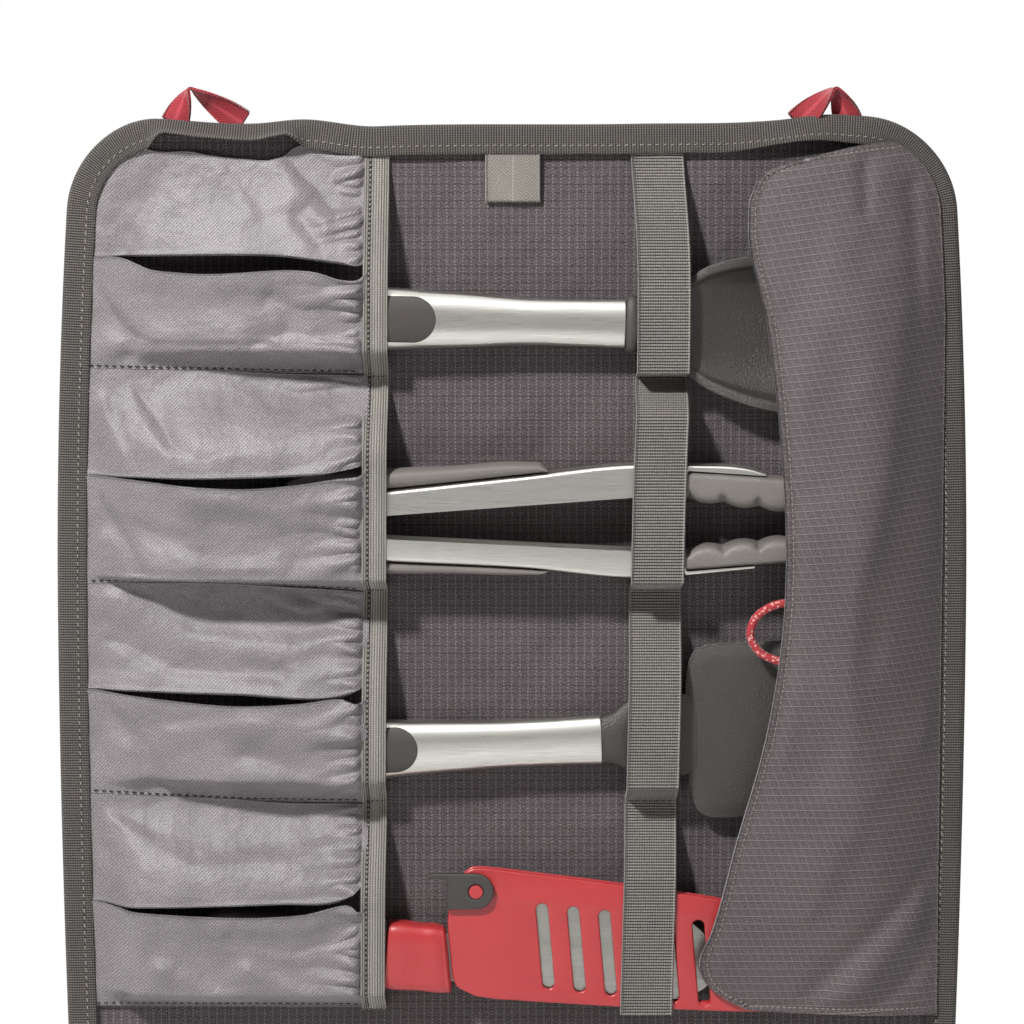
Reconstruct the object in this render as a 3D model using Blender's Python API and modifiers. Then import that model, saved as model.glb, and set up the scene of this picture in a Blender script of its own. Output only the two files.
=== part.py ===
"""Camp kitchen utensil roll, hung open by its two loops.

The roll is a bound fabric panel with four rows of pockets, an elastic band, a webbing strap and a side flap.
It holds a spoon, locking tongs, a turner and a knife in its sheath. Units are metres, +Z is up and the front
faces -Y. The origin lies midway between the tops of the two hang loops, halfway through the panel.
"""

import math

import bmesh
import bpy
import numpy as np
from mathutils import Matrix, Vector

# Clearances
GAP = 0.0003
TOOL_ROOM = 0.0010

# Panel and its edge tape
ROLL_WIDTH = 0.427
ROLL_TOP = -0.0155
ROLL_HEIGHT = 0.474
CORNER_RADIUS = 0.042
TOP_DRAW = 0.045
BOTTOM_DRAW = 0.018
PANEL_THICK = 0.0024
TAPE_THICK = 0.0010
BINDING_WIDTH = 0.013
CORNER_STEPS = 7
SIDE_STEPS = 9

# Rows of pockets, counted from the top
ROWS = 4
ROW_TOP = -0.0295
FIRST_ROW = 0.1035
NEXT_ROW = 0.1005
TACK_DROP = 0.0020
SLIT_DROP = 0.0480
SLIT_OPEN = 0.0085
CLOTH_THICK = 0.0008
CLOTH_TUCK = 0.0040
HEM_LIFT = 0.0050
HEM_SWELL = 0.0020
MOUTH_SWELL = 0.0045

# Elastic band, webbing strap, loop tab and hang loops
ELASTIC_X = -0.0644
ELASTIC_WIDTH = 0.012
ELASTIC_THICK = 0.0011
STRAP_X = 0.0674
STRAP_WIDTH = 0.025
STRAP_THICK = 0.0012
TAB_X = 0.0004
TAB_WIDTH = 0.0247
TAB_LENGTH = 0.0225
TAB_THICK = 0.0008
TAB_GAP = 0.0010
HANG_X = 0.1495
HANG_WIDTH = 0.0120
HANG_SPREAD = 0.0315
HANG_FOOT = 0.0155
HANG_THICK = 0.0014
HANG_INSIDE = (0.0012, -0.0065)
HANG_CROWN = ((0.0052, -0.0022), (0.0030, -0.0004), (0, 0), (-0.0030, -0.0004), (-0.0050, -0.0022))

# Flap
FLAP_THICK = 0.0016
FLAP_HINGE_X = 0.2015
FLAP_RISE = 0.045
FLAP_LAP = 0.0045
FLAP_TOP = -0.0262
FLAP_BOTTOM = -0.4375
FLAP_HEIGHTS = ((-0.030, 0.0100), (-0.110, 0.0215), (-0.205, 0.0265),
                (-0.310, 0.0180), (-0.405, 0.0170), (-0.440, 0.0120))
FLAP_EDGE = ((-0.026, 0.1480), (-0.046, 0.1135), (-0.062, 0.1120), (-0.110, 0.1215), (-0.150, 0.1270),
             (-0.268, 0.1285), (-0.307, 0.1215), (-0.352, 0.1075), (-0.395, 0.0950), (-0.4105, 0.0890),
             (-0.4215, 0.0930), (-0.4380, 0.1120))
CORD_DIAMETER = 0.0038
CORD_PATCH = (0.0125, 0.0300, 0.0026)
CORD_PATCH_AT = (0.1475, -0.2520)
CORD_ROOM = 0.0006
# The cord's route: x, how far it sinks from the flap, and z
CORD_ROUTE = (
    (0.1283, 0.0005, -0.2393), (0.1208, 0.0015, -0.2406), (0.1137, 0.0030, -0.2458),
    (0.1109, 0.0038, -0.2533), (0.1128, 0.0036, -0.2594), (0.1175, 0.0026, -0.2641),
    (0.1269, 0.0010, -0.2669),
)
CORD_FIRST = ((0, -0.2432), (0.0040, -0.2428))
CORD_LAST = ((0.0040, -0.2640), (0, -0.2632))

# Handles: at distances from the rounded end, the shares of the full width and thickness
HANDLE_ROUND = ((0, 0.42, 0.40), (0.0012, 0.70, 0.66), (0.004, 0.90, 0.88), (0.009, 1, 1))
HANDLE_SHOULDER = 0.016
HANDLE_WAIST = 0.040
HANDLE_FLARE = 0.020

# How far a tool reaches below and above its own height where a band crosses it, and its neck's front
TONGS_AT_ELASTIC = (0.0232, 0.0330)
SPOON_AT_STRAP = (0.0212, 0.0225)
TONGS_AT_STRAP = (0.0238, 0.0510)
TURNER_AT_STRAP = (0.0222, 0.0232)
KNIFE_AT_STRAP = (0.0293, 0.0335)
NECK_FRONT = 0.0062

# Spoon: its own x runs from the strap's right edge towards the bowl's tip
SPOON_Z = -0.1108
SPOON_TILT = math.radians(1.3)
SPOON_DEPTH = 0.0105
SPOON_HANDLE_END = -0.1636
SPOON_HANDLE_TIP = -0.0273
SPOON_HANDLE_HALF = 0.0132
SPOON_NECK_HALF = 0.0109
HANDLE_HALF_THICK = 0.0070
SPOON_COLLAR = 0.0057
SPOON_BOWL_LENGTH = 0.083
SPOON_BOWL_HALF = 0.0375
SPOON_DISH = 0.013
SPOON_WALL_HALF = 0.0014
PLUG_END = -0.115
PLUG_HALF = 0.0108
PLUG_PROUD = 0.0004
PLUG_INSET = 0.0035
COLLAR_RIM = 0.0010
COLLAR_EDGE = (0.0122, 0.0064)
COLLAR_FULL = (0.0132, 0.0071)
# Stations of the head: x, half width, half thickness, centre height, centre depth and dish
SPOON_HEAD = (
    (-0.0130, 0.0132, 0.0048, 0, 0.0, 0.0),
    (-0.0040, 0.0155, 0.0038, 0, 0.0010, 0.0008),
    (0.0030, 0.0232, 0.0026, -0.0002, 0.0025, 0.0030),
    (0.0090, 0.0275, 0.0019, -0.0004, 0.0045, 0.0060),
    (0.0170, 0.0308, SPOON_WALL_HALF, -0.0008, 0.0062, 0.0093),
    (0.0270, 0.0338, SPOON_WALL_HALF, -0.0014, 0.0070, 0.0118),
    (0.0380, 0.0359, SPOON_WALL_HALF, -0.0020, 0.0072, SPOON_DISH),
    (0.0490, 0.0372, SPOON_WALL_HALF, -0.0026, 0.0070, 0.0128),
    (0.0590, SPOON_BOWL_HALF, SPOON_WALL_HALF, -0.0030, 0.0062, 0.0112),
    (0.0680, 0.0345, SPOON_WALL_HALF, -0.0030, 0.0048, 0.0086),
    (0.0750, 0.0283, SPOON_WALL_HALF, -0.0028, 0.0032, 0.0054),
    (0.0800, 0.0200, 0.0012, -0.0026, 0.0018, 0.0026),
    (0.0825, 0.0115, 0.0009, -0.0025, 0.0010, 0.0010),
    (SPOON_BOWL_LENGTH, 0.0060, 0.0006, -0.0025, 0.0006, 0.0003),
)
SPOON_ROOT = (0.0112, 0.0056, 0, 0, 0)

# Turner: its own x runs from the strap's right edge towards the blade's edge
TURNER_Z = -0.3036
TURNER_TILT = math.radians(-2.4)
TURNER_DEPTH = 0.0105
TURNER_HANDLE_END = -0.164
TURNER_HANDLE_TIP = -0.038
TURNER_PLUG_END = -0.124
TURNER_HALF = 0.0128
TURNER_WAIST_HALF = 0.0111
TURNER_BLADE_LENGTH = 0.079
TURNER_BLADE_HEIGHT = 0.083
TURNER_BLADE_THICK = 0.0022
TURNER_BLADE_RADIUS = 0.009
TURNER_BLADE_EDGE = 0.0007
TURNER_BLADE_AT = (0.0015, 0.0020, 0.0015)
TURNER_ROOT = (0.0116, 0.0061, 0, 0, 0)
TURNER_NECK = (
    (-0.0330, 0.0124, 0.0060, 0.0004, 0.0, 0), (-0.0254, 0.0168, 0.0054, 0.0012, -0.0002, 0),
    (-0.0120, 0.0190, 0.0042, 0.0010, -0.0008, 0), (-0.0020, 0.0196, 0.0029, 0.0006, -0.0014, 0),
    (0.0030, 0.0190, 0.0018, 0.0006, -0.0018, 0), (0.0080, 0.0172, 0.0009, 0.0004, -0.0020, 0),
)

# Tongs: measured from the pivot's axis
TONGS_X = -0.1260
TONGS_Z = -0.2049
TONGS_DEPTH = 0.0130
LOWER_WIDTH = 0.0200
UPPER_WIDTH = 0.0172
STEEL_WALL = 0.0010
HEAD_WIDTH = 0.0200
GRIP_WIDTH = 0.0190
PIN_RADIUS = 0.0025
SPRING_WIRE = 0.0007
SPRING_TURNS = 4
SPRING_LEG = 0.012
SPRING_SPACE = 0.00045
LOCK_THICK = 0.0020
LOCK_TRAVEL = 0.010
LOCK_RING = 0.0085
LOCK_RIM = 0.0028
LOCK_REACH = 0.028
LOCK_HALF = 0.0038
LOCK_NOSE = 0.0155
# Outlines of the two arms, of the backs of their heads, and where each head's gripping edge starts and stops
TONG_UPPER = (
    (-0.0100, 0.0040), (-0.0088, 0.0084), (-0.0050, 0.0106), (0.0682, 0.0179), (0.1300, 0.0246),
    (0.1810, 0.0301), (0.1950, 0.0302), (0.2063, 0.0291), (0.2435, 0.0258), (0.2435, 0.0250),
    (0.2063, 0.0258), (0.2030, 0.0143), (0.1810, 0.0146), (0.0682, 0.0063), (0.0090, -0.0048),
    (-0.0050, -0.0060), (-0.0088, -0.0030),
)
TONG_LOWER = (
    (-0.0100, -0.0040), (-0.0088, -0.0084), (-0.0050, -0.0106), (0.0682, -0.0150), (0.1330, -0.0182),
    (0.1810, -0.0226), (0.1950, -0.0224), (0.2060, -0.0214), (0.2385, -0.0181), (0.2385, -0.0174),
    (0.2060, -0.0188), (0.2030, -0.0096), (0.1810, -0.0099), (0.0682, -0.0045), (0.0090, 0.0045),
    (-0.0050, 0.0060), (-0.0088, 0.0030),
)
UPPER_HEAD_BACK = (
    (0.2070, 0.0252), (0.2440, 0.0244), (0.2560, 0.0236), (0.2680, 0.0214), (0.2780, 0.0170),
    (0.2838, 0.0112),
)
LOWER_HEAD_BACK = (
    (0.2070, -0.0182), (0.2400, -0.0168), (0.2515, -0.0162), (0.2660, -0.0145), (0.2780, -0.0112),
    (0.2838, -0.0068),
)
UPPER_BITE = ((0.2036, 0.0128), (0.2838, 0.0075))
LOWER_BITE = ((0.2036, -0.0085), (0.2838, -0.0040))
BITE_SAG = 0.0020
SCALLOP = 0.0011
SCALLOP_PITCH = 0.0165
HEAD_EDGE = 0.0016
# Soft grips: places along the arm, the upper grip's thickness there, and the lower grip's share of it
GRIP_PLACES = (0.0220, 0.0450, 0.0682, 0.0978, 0.1340, 0.1424)
GRIP_THICK = (0.0060, 0.0094, 0.0094, 0.0074, 0.0052, 0.0016)
LOWER_GRIP_SHARE = 0.62
GRIP_EDGE = 0.0005

# Knife and sheath: measured from the middle of the sheath's mouth, along the tilted blade
KNIFE_X = -0.0287
KNIFE_Z = -0.4056
KNIFE_TILT = math.radians(5.0)
KNIFE_DEPTH = 0.0120
SHEATH_THICK = 0.0070
CAVITY = 0.0030
BLADE_THICK = 0.0020
BLADE_PLAY = 0.0012
GRIP_END = -0.118
GRIP_TIP = -0.031
KNIFE_GRIP_HALF = 0.0157
KNIFE_GRIP_DROP = -0.0041
KNIFE_GRIP_HALF_THICK = 0.0090
# Stations of the grip, from its end, and of the bolster: x, half width and half thickness
KNIFE_GRIP_ROUND = ((0, 0.0070, 0.0040), (0.0020, 0.0112, 0.0066), (0.0070, 0.0150, 0.0084))
KNIFE_GRIP_PALM = 0.020
KNIFE_GRIP = ((-0.0700, 0.0146, 0.0088), (-0.0450, 0.0150, 0.0090))
KNIFE_GRIP_FRONT = (0.0155, 0.0088)
BOLSTER_BACK = (0.0155, 0.0086)
BOLSTER = ((-0.0150, 0.0152, 0.0080), (-0.0090, 0.0150, 0.0074), (-0.0063, 0.0142, 0.0062))
SHEATH_OUTLINE = (
    (0.0034, -0.0213), (0.0824, -0.0195), (0.1416, -0.0168), (0.1650, -0.0132), (0.1790, -0.0070),
    (0.1850, 0.0020), (0.1835, 0.0125), (0.1740, 0.0225), (0.1580, 0.0300), (0.1262, 0.0358),
    (0.0773, 0.0389), (0.0125, 0.0413), (0.0060, 0.0405), (0.0022, 0.0370), (-0.0026, 0.0200),
    (-0.0030, 0.0130),
)
BLADE_OUTLINE = (
    (-0.0060, -0.0160), (0.0800, -0.0158), (0.1120, -0.0140), (0.1230, -0.0060), (0.1240, 0.0060),
    (0.1195, 0.0180), (0.1080, 0.0260), (0.0600, 0.0300), (0.0070, 0.0305), (0.0060, 0.0110),
    (0.0030, 0.0085), (-0.0060, 0.0080),
)
CAVITY_MOUTH = -0.030
CAVITY_CUT = 0.012
SLOT_WIDTH = 0.0056
SLOT_LENGTH = 0.0410
SLOT_PITCH = 0.0148
SLOT_START = 0.0440
SLOT_HEIGHT = 0.0065
SLOT_FALL = 0.0003
SLOTS = 6
SLOT_LEAN = math.radians(10.0)
LATCH_X = 0.0091
LATCH_Z = 0.0303
LATCH_THICK = 0.0030
LATCH_RADIUS = 0.0085
LATCH_LEFT = -0.0132
LATCH_ARM = ((-0.0216, 0.0087), (-0.0226, 0.0080), (-0.0222, 0.0062), (-0.0145, 0.0060), (-0.0134, 0.0050))
RIVET_RADIUS = 0.0032

# Closing straps on the back
CLOSE_X = 0.105
CLOSE_TOP = -0.095
CLOSE_LENGTH = 0.235
CLOSE_THICK = 0.0012
CLOSE_FOLD = 0.0010
ANCHOR_LENGTH = 0.030
BUCKLE_WIDTH = 0.033
BUCKLE_LENGTH = 0.030
BUCKLE_THICK = 0.0090
BUCKLE_WALL = 0.0016
BUCKLE_RADIUS = 0.004
THROAT_FOOT = 0.005
WINDOW_TALL = 0.011
WINDOW_Z = 0.0125
PRONG_WIDTH = 0.0048
PRONG_REACH = 0.024
PRONG_HOOK = 0.0012
PLUG_BAR = 0.008

# Materials: colour, roughness, metallic
FINISHES = {
    "ripstop": ("#62585A", 0.85, 0.0),
    "flap_ripstop": ("#766A6B", 0.80, 0.0),
    "edge_tape": ("#6B675E", 0.90, 0.0),
    "pocket_satin": ("#968F92", 0.55, 0.0),
    "ribbed_elastic": ("#787668", 0.90, 0.0),
    "ribbed_webbing": ("#69665E", 0.90, 0.0),
    "herringbone_tape": ("#6E6B64", 0.90, 0.0),
    "red_webbing": ("#C03040", 0.80, 0.0),
    "red_cord": ("#D8404A", 0.80, 0.0),
    "brushed_steel": ("#C9C9C2", 0.35, 1.0),
    "dark_nylon": ("#4A4845", 0.50, 0.0),
    "soft_rubber": ("#55504D", 0.65, 0.0),
    "red_plastic": ("#C8414B", 0.40, 0.0),
    "blade_steel": ("#A8A6A0", 0.30, 1.0),
    "black_acetal": ("#26262A", 0.45, 0.0),
}

PANEL_HALF = PANEL_THICK / 2
STRAP_RIGHT = STRAP_X + STRAP_WIDTH / 2
ELASTIC_LEFT = ELASTIC_X - ELASTIC_WIDTH / 2
CLOTH_DEPTH = GAP + CLOTH_THICK / 2
BINDING_INNER = CLOTH_THICK + 2 * GAP
BINDING_OUTER = BINDING_INNER + TAPE_THICK
FLAP_AXIS_DEPTH = BINDING_OUTER + GAP + FLAP_THICK / 2

# Columns of a pocket's cloth: one under the tape, some over its swelling side, the rest over the handle
COLUMNS = 13
SWELL_COLUMNS = 6
POCKET_COLUMNS = np.arange(COLUMNS)
TO_FULL = np.where(POCKET_COLUMNS == 0, -1.0, np.clip((POCKET_COLUMNS - 1) / (SWELL_COLUMNS - 1), 0, 1))
TO_EDGE = np.clip((POCKET_COLUMNS - SWELL_COLUMNS) / (COLUMNS - 1 - SWELL_COLUMNS), 0, 1)


def clear_scene():
    for obj in list(bpy.data.objects):
        bpy.data.objects.remove(obj, do_unlink=True)


def new_collection(name):
    made = bpy.data.collections.new(name)
    bpy.context.scene.collection.children.link(made)
    return made


clear_scene()
PARTS = new_collection("utensil_roll")
CUTTERS = new_collection("cutters")


def linear(channel):
    return channel / 12.92 if channel <= 0.04045 else ((channel + 0.055) / 1.055) ** 2.4


def finish(name):
    """The material of this name, made from FINISHES the first time it is asked for."""
    if name in bpy.data.materials:
        return bpy.data.materials[name]
    code, roughness, metallic = FINISHES[name]
    rgb = [linear(int(code[i : i + 2], 16) / 255) for i in (1, 3, 5)]
    made = bpy.data.materials.new(name)
    made.use_nodes = True
    shader = made.node_tree.nodes["Principled BSDF"]
    shader.inputs["Base Color"].default_value = (*rgb, 1)
    shader.inputs["Roughness"].default_value = roughness
    shader.inputs["Metallic"].default_value = metallic
    made.diffuse_color = (*rgb, 1)
    return made


def add_part(name, data, material, smooth=False):
    """An object of the roll with its material, linked to the parts."""
    obj = bpy.data.objects.new(name, data)
    PARTS.objects.link(obj)
    data.materials.append(finish(material))
    if smooth:
        data.shade_smooth()
        data.set_sharp_from_angle(angle=math.radians(40))
    return obj


def as_cutter(obj):
    """Moves an object to the cutters, where it no longer counts as a part."""
    for group in list(obj.users_collection):
        group.objects.unlink(obj)
    CUTTERS.objects.link(obj)
    obj.hide_render = True
    obj.display_type = "WIRE"
    return obj


def combine(obj, other, operation):
    """A live Boolean with another object, which becomes a cutter."""
    modifier = obj.modifiers.new(operation.lower(), "BOOLEAN")
    modifier.operation = operation
    modifier.solver = "EXACT"
    modifier.object = as_cutter(other)


def mesh_of(bm, name):
    """The finished mesh, its faces pointing outwards."""
    data = bpy.data.meshes.new(name)
    bmesh.ops.recalc_face_normals(bm, faces=bm.faces)
    if bm.calc_volume(signed=True) < 0:
        bmesh.ops.reverse_faces(bm, faces=bm.faces)
    bm.to_mesh(data)
    bm.free()
    return data


def front(depth):
    """The y of a point this far in front of the panel's face."""
    return -(PANEL_HALF + depth)


def smooth_step(t):
    t = np.clip(t, 0.0, 1.0)
    return t * t * (3 - 2 * t)


def along(points, at):
    """A smooth value at each place of AT, through (place, value) points in rising or falling order."""
    places, values = np.array(sorted(points)).T
    slopes = np.gradient(values, places)
    at = np.clip(at, places[0], places[-1])
    i = np.clip(np.searchsorted(places, at) - 1, 0, len(places) - 2)
    span = places[i + 1] - places[i]
    t = (at - places[i]) / span
    return (
        values[i] * (1 + 2 * t) * (1 - t) ** 2
        + slopes[i] * span * t * (1 - t) ** 2
        + values[i + 1] * t * t * (3 - 2 * t)
        + slopes[i + 1] * span * t * t * (t - 1)
    )


def loft(name, rings, material, closed=False, at=None):
    """A solid through rings of points: each ring is an array of points, and the end rings are capped."""
    bm = bmesh.new()
    rows = [[bm.verts.new(p) for p in ring] for ring in rings]
    pairs = list(zip(rows, rows[1:] + rows[:1])) if closed else list(zip(rows, rows[1:]))
    for a, b in pairs:
        for i in range(len(a)):
            j = (i + 1) % len(a)
            bm.faces.new((a[i], a[j], b[j], b[i]))
    if not closed:
        bm.faces.new(rows[0])
        bm.faces.new(rows[-1])
    obj = add_part(name, mesh_of(bm, name), material, smooth=True)
    if at is not None:
        obj.matrix_world = at
    return obj


def sheet(name, grid, thickness, material):
    """Cloth: an open grid of points, rows by columns, given its thickness by Solidify."""
    rows, columns = grid.shape[:2]
    bm = bmesh.new()
    verts = [[bm.verts.new(p) for p in row] for row in grid]
    for i in range(rows - 1):
        for j in range(columns - 1):
            bm.faces.new((verts[i][j], verts[i][j + 1], verts[i + 1][j + 1], verts[i + 1][j]))
    obj = add_part(name, mesh_of(bm, name), material, smooth=True)
    wall = obj.modifiers.new("thickness", "SOLIDIFY")
    wall.thickness = thickness
    wall.offset = 0.0
    return obj


def outline(name, loops, thickness, material, round_edge=0.0, plane="XZ", steps=1):
    """A flat outline, with any further loops as holes, extruded to its thickness about its own plane."""
    curve = bpy.data.curves.new(name, "CURVE")
    curve.dimensions = "2D"
    curve.fill_mode = "BOTH"
    curve.extrude = thickness / 2 - round_edge
    curve.bevel_depth = round_edge
    curve.bevel_resolution = steps
    curve.offset = -round_edge
    for loop in loops:
        spline = curve.splines.new("POLY")
        spline.points.add(len(loop) - 1)
        for point, (u, v) in zip(spline.points, loop):
            point.co = (u, v, 0, 1)
        spline.use_cyclic_u = True
    obj = bpy.data.objects.new(name, curve)
    CUTTERS.objects.link(obj)
    graph = bpy.context.evaluated_depsgraph_get()
    data = bpy.data.meshes.new_from_object(obj.evaluated_get(graph))
    bpy.data.objects.remove(obj, do_unlink=True)
    bm = bmesh.new()
    bm.from_mesh(data)
    bpy.data.meshes.remove(data)
    bmesh.ops.remove_doubles(bm, verts=bm.verts, dist=0.00002)
    turn = {"XZ": (math.pi / 2, 0, 0), "YZ": (math.pi / 2, 0, math.pi / 2), "XY": (0, 0, 0)}[plane]
    bm.transform(Matrix.Rotation(turn[2], 4, "Z") @ Matrix.Rotation(turn[0], 4, "X"))
    return add_part(name, mesh_of(bm, name), material, smooth=True)


def box(name, size, centre, material):
    bm = bmesh.new()
    bmesh.ops.create_cube(bm, size=1.0)
    bmesh.ops.scale(bm, vec=size, verts=bm.verts)
    bmesh.ops.translate(bm, vec=centre, verts=bm.verts)
    return add_part(name, mesh_of(bm, name), material)


def rod(name, radius, length, centre, material, axis="Y", sides=24):
    bm = bmesh.new()
    bmesh.ops.create_cone(bm, cap_ends=True, segments=sides, radius1=radius, radius2=radius, depth=length)
    turn = {"X": Matrix.Rotation(math.pi / 2, 4, "Y"), "Y": Matrix.Rotation(math.pi / 2, 4, "X")}[axis]
    bm.transform(Matrix.Translation(centre) @ turn)
    return add_part(name, mesh_of(bm, name), material, smooth=True)


def wire(name, points, diameter, material, resolution=2):
    """A round wire or cord through these points, with filled ends."""
    curve = bpy.data.curves.new(name, "CURVE")
    curve.dimensions = "3D"
    curve.bevel_depth = diameter / 2
    curve.bevel_resolution = resolution
    curve.use_fill_caps = True
    spline = curve.splines.new("POLY")
    spline.points.add(len(points) - 1)
    for point, place in zip(spline.points, points):
        point.co = (*place, 1)
    obj = bpy.data.objects.new(name, curve)
    PARTS.objects.link(obj)
    curve.materials.append(finish(material))
    return obj


def strip(name, path, thickness, width, x, material):
    """Tape or webbing of one width across X, whose middle follows a path of (y, z) points."""
    path = np.array(path, float)
    run = np.gradient(path, axis=0)
    run /= np.linalg.norm(run, axis=1, keepdims=True)
    side = np.stack([-run[:, 1], run[:, 0]], 1) * thickness / 2
    loop = [*(path + side), *(path - side)[::-1]]
    obj = outline(name, [loop], width, material, plane="YZ")
    obj.location.x = x
    return obj


def arc(centre, radius, start, stop, steps):
    """Points on an arc, its angles in degrees from +u towards +v."""
    turn = np.radians(np.linspace(start, stop, steps + 1))
    return [(centre[0] + radius * math.cos(a), centre[1] + radius * math.sin(a)) for a in turn]


def rounded_box(left, right, bottom, top, radius, steps=4):
    """The outline of a rectangle with rounded corners, counter-clockwise."""
    return [
        *arc((right - radius, top - radius), radius, 0, 90, steps),
        *arc((left + radius, top - radius), radius, 90, 180, steps),
        *arc((left + radius, bottom + radius), radius, 180, 270, steps),
        *arc((right - radius, bottom + radius), radius, 270, 360, steps),
    ]


def oval(half_width, half_thick, power=2.0, sides=20):
    """A ring of (across, depth) points on a superellipse."""
    turn = np.arange(sides) * 2 * math.pi / sides
    across = half_width * np.sign(np.cos(turn)) * np.abs(np.cos(turn)) ** (2 / power)
    deep = half_thick * np.sign(np.sin(turn)) * np.abs(np.sin(turn)) ** (2 / power)
    return across, deep


def bar_rings(stations, power=2.6, sides=20):
    """Rings of a handle lying along x.

    Each station is x, half width, half thickness, centre z, centre depth and dish, the depth that the middle
    sinks below the rims.
    """
    rings = []
    for x, half, thick, z, depth, dish in stations:
        across, deep = oval(half, thick, power, sides)
        sunk = dish * (1 - (across / half) ** 2)
        rings.append(np.stack([np.full(sides, x), -(depth + deep - sunk), z + across], 1))
    return rings


def row_line(row):
    """The height of the stitch line above a row; row 4 gives the bottom line."""
    return ROW_TOP if row == 0 else ROW_TOP - FIRST_ROW - (row - 1) * NEXT_ROW


def tilted(x, z, tilt, depth=0.0):
    """The place and turn of a stowed tool, its x axis tipped down by TILT."""
    return Matrix.Translation((x, front(depth), z)) @ Matrix.Rotation(tilt, 4, "Y")


def span_at(height, half, tilt, reach):
    """Lowest and highest z of a bar of this half width, at this distance along its tilted axis."""
    middle = height - reach * math.sin(tilt)
    return middle - half - GAP, middle + half + GAP


def tools_under_elastic():
    """For each row: lowest z, highest z and front depth of what passes under the elastic band."""
    reach = ELASTIC_X - STRAP_RIGHT
    spoon = span_at(SPOON_Z, SPOON_HANDLE_HALF, SPOON_TILT, reach)
    turner = span_at(TURNER_Z, TURNER_HALF, TURNER_TILT, reach)
    tongs = (TONGS_Z - TONGS_AT_ELASTIC[0], TONGS_Z + TONGS_AT_ELASTIC[1])
    low, high = span_at(KNIFE_Z + KNIFE_GRIP_DROP, KNIFE_GRIP_HALF, KNIFE_TILT, ELASTIC_X - KNIFE_X)
    knife = (low - TOOL_ROOM, high - GRIP_END * math.sin(KNIFE_TILT))
    return (
        (*spoon, SPOON_DEPTH + HANDLE_HALF_THICK),
        (*tongs, TONGS_DEPTH + LOWER_WIDTH / 2),
        (*turner, TURNER_DEPTH + HANDLE_HALF_THICK),
        (*knife, KNIFE_DEPTH + KNIFE_GRIP_HALF_THICK),
    )


def tools_under_strap():
    """The same for what passes under the webbing strap."""
    spoon = (SPOON_Z - SPOON_AT_STRAP[0], SPOON_Z + SPOON_AT_STRAP[1])
    tongs = (TONGS_Z - TONGS_AT_STRAP[0], TONGS_Z + TONGS_AT_STRAP[1])
    turner = (TURNER_Z - TURNER_AT_STRAP[0], TURNER_Z + TURNER_AT_STRAP[1])
    knife = (KNIFE_Z - KNIFE_AT_STRAP[0], KNIFE_Z + KNIFE_AT_STRAP[1])
    return (
        (*spoon, SPOON_DEPTH + NECK_FRONT),
        (*tongs, TONGS_DEPTH + LOWER_WIDTH / 2),
        (*turner, TURNER_DEPTH + NECK_FRONT),
        (*knife, KNIFE_DEPTH + SHEATH_THICK / 2),
    )


def band_depth(z, row, tool, thickness, drop):
    """The depth of the middle of a band tacked at both ends of a row, where it passes over a tool."""
    low, high, deep = tool
    top = row_line(row) - (drop if row else 0)
    bottom = row_line(row + 1) - drop
    base = GAP + thickness / 2
    lift = deep + TOOL_ROOM + thickness / 2 - base
    up = smooth_step((top - z) / (top - high))
    down = smooth_step((z - bottom) / (low - bottom))
    return base + lift * np.minimum(up, down)


def band_heights(row, tool, drop):
    """Heights at which a band's path is sampled in one row, closer together where it bends."""
    low, high, _ = tool
    top = row_line(row) - (drop if row else 0)
    bottom = row_line(row + 1) - drop
    rise = np.linspace(top, high, 7)
    fall = np.linspace(low, bottom, 7)
    return [*rise, (low + high) / 2, *fall[:-1]]


def band_path(tools, thickness):
    """(y, z) points down a band with its tacks at the row lines."""
    path = []
    for row, tool in enumerate(tools):
        for z in band_heights(row, tool, TACK_DROP):
            path.append((front(float(band_depth(z, row, tool, thickness, TACK_DROP))), z))
    path.append((front(GAP + thickness / 2), row_line(ROWS) - TACK_DROP))
    return path


def roll_edge(inset):
    """Points round the roll's outline and their inward directions, drawn in slightly at top and bottom."""
    half = ROLL_WIDTH / 2 - inset
    top = ROLL_TOP - inset
    bottom = ROLL_TOP - ROLL_HEIGHT + inset
    points = rounded_box(-half, half, bottom, top, CORNER_RADIUS - inset, CORNER_STEPS)
    full = []
    for here, there in zip(points, points[1:] + points[:1]):
        full.append(here)
        if abs(here[0] - there[0]) < 1e-9 and abs(here[1] - there[1]) > CORNER_RADIUS:
            for t in np.arange(1, SIDE_STEPS) / SIDE_STEPS:
                full.append((here[0], here[1] + t * (there[1] - here[1])))
    full = np.array(full)
    full[:, 0] *= draw_in(full[:, 1])
    return full


def draw_in(z):
    """The drawn-in half width at a height, as a share of the widest."""
    away = (z - (ROLL_TOP - ROLL_HEIGHT / 2)) / (ROLL_HEIGHT / 2)
    return 1 - np.where(away > 0, TOP_DRAW, BOTTOM_DRAW) * away**2


def side_x(z, inset):
    """Distance from the middle to the outline, moved in by INSET, at a height; it follows the corners."""
    radius = CORNER_RADIUS - inset
    past = np.maximum(z - (ROLL_TOP - CORNER_RADIUS), (ROLL_TOP - ROLL_HEIGHT + CORNER_RADIUS) - z)
    bow = np.sqrt(np.clip(radius**2 - np.clip(past, 0, radius) ** 2, 0, None))
    return (ROLL_WIDTH / 2 - CORNER_RADIUS + bow) * draw_in(z)


def build_panel():
    rim = roll_edge(GAP + TAPE_THICK)
    outline("back_panel", [rim], PANEL_THICK, "ripstop")


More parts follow.
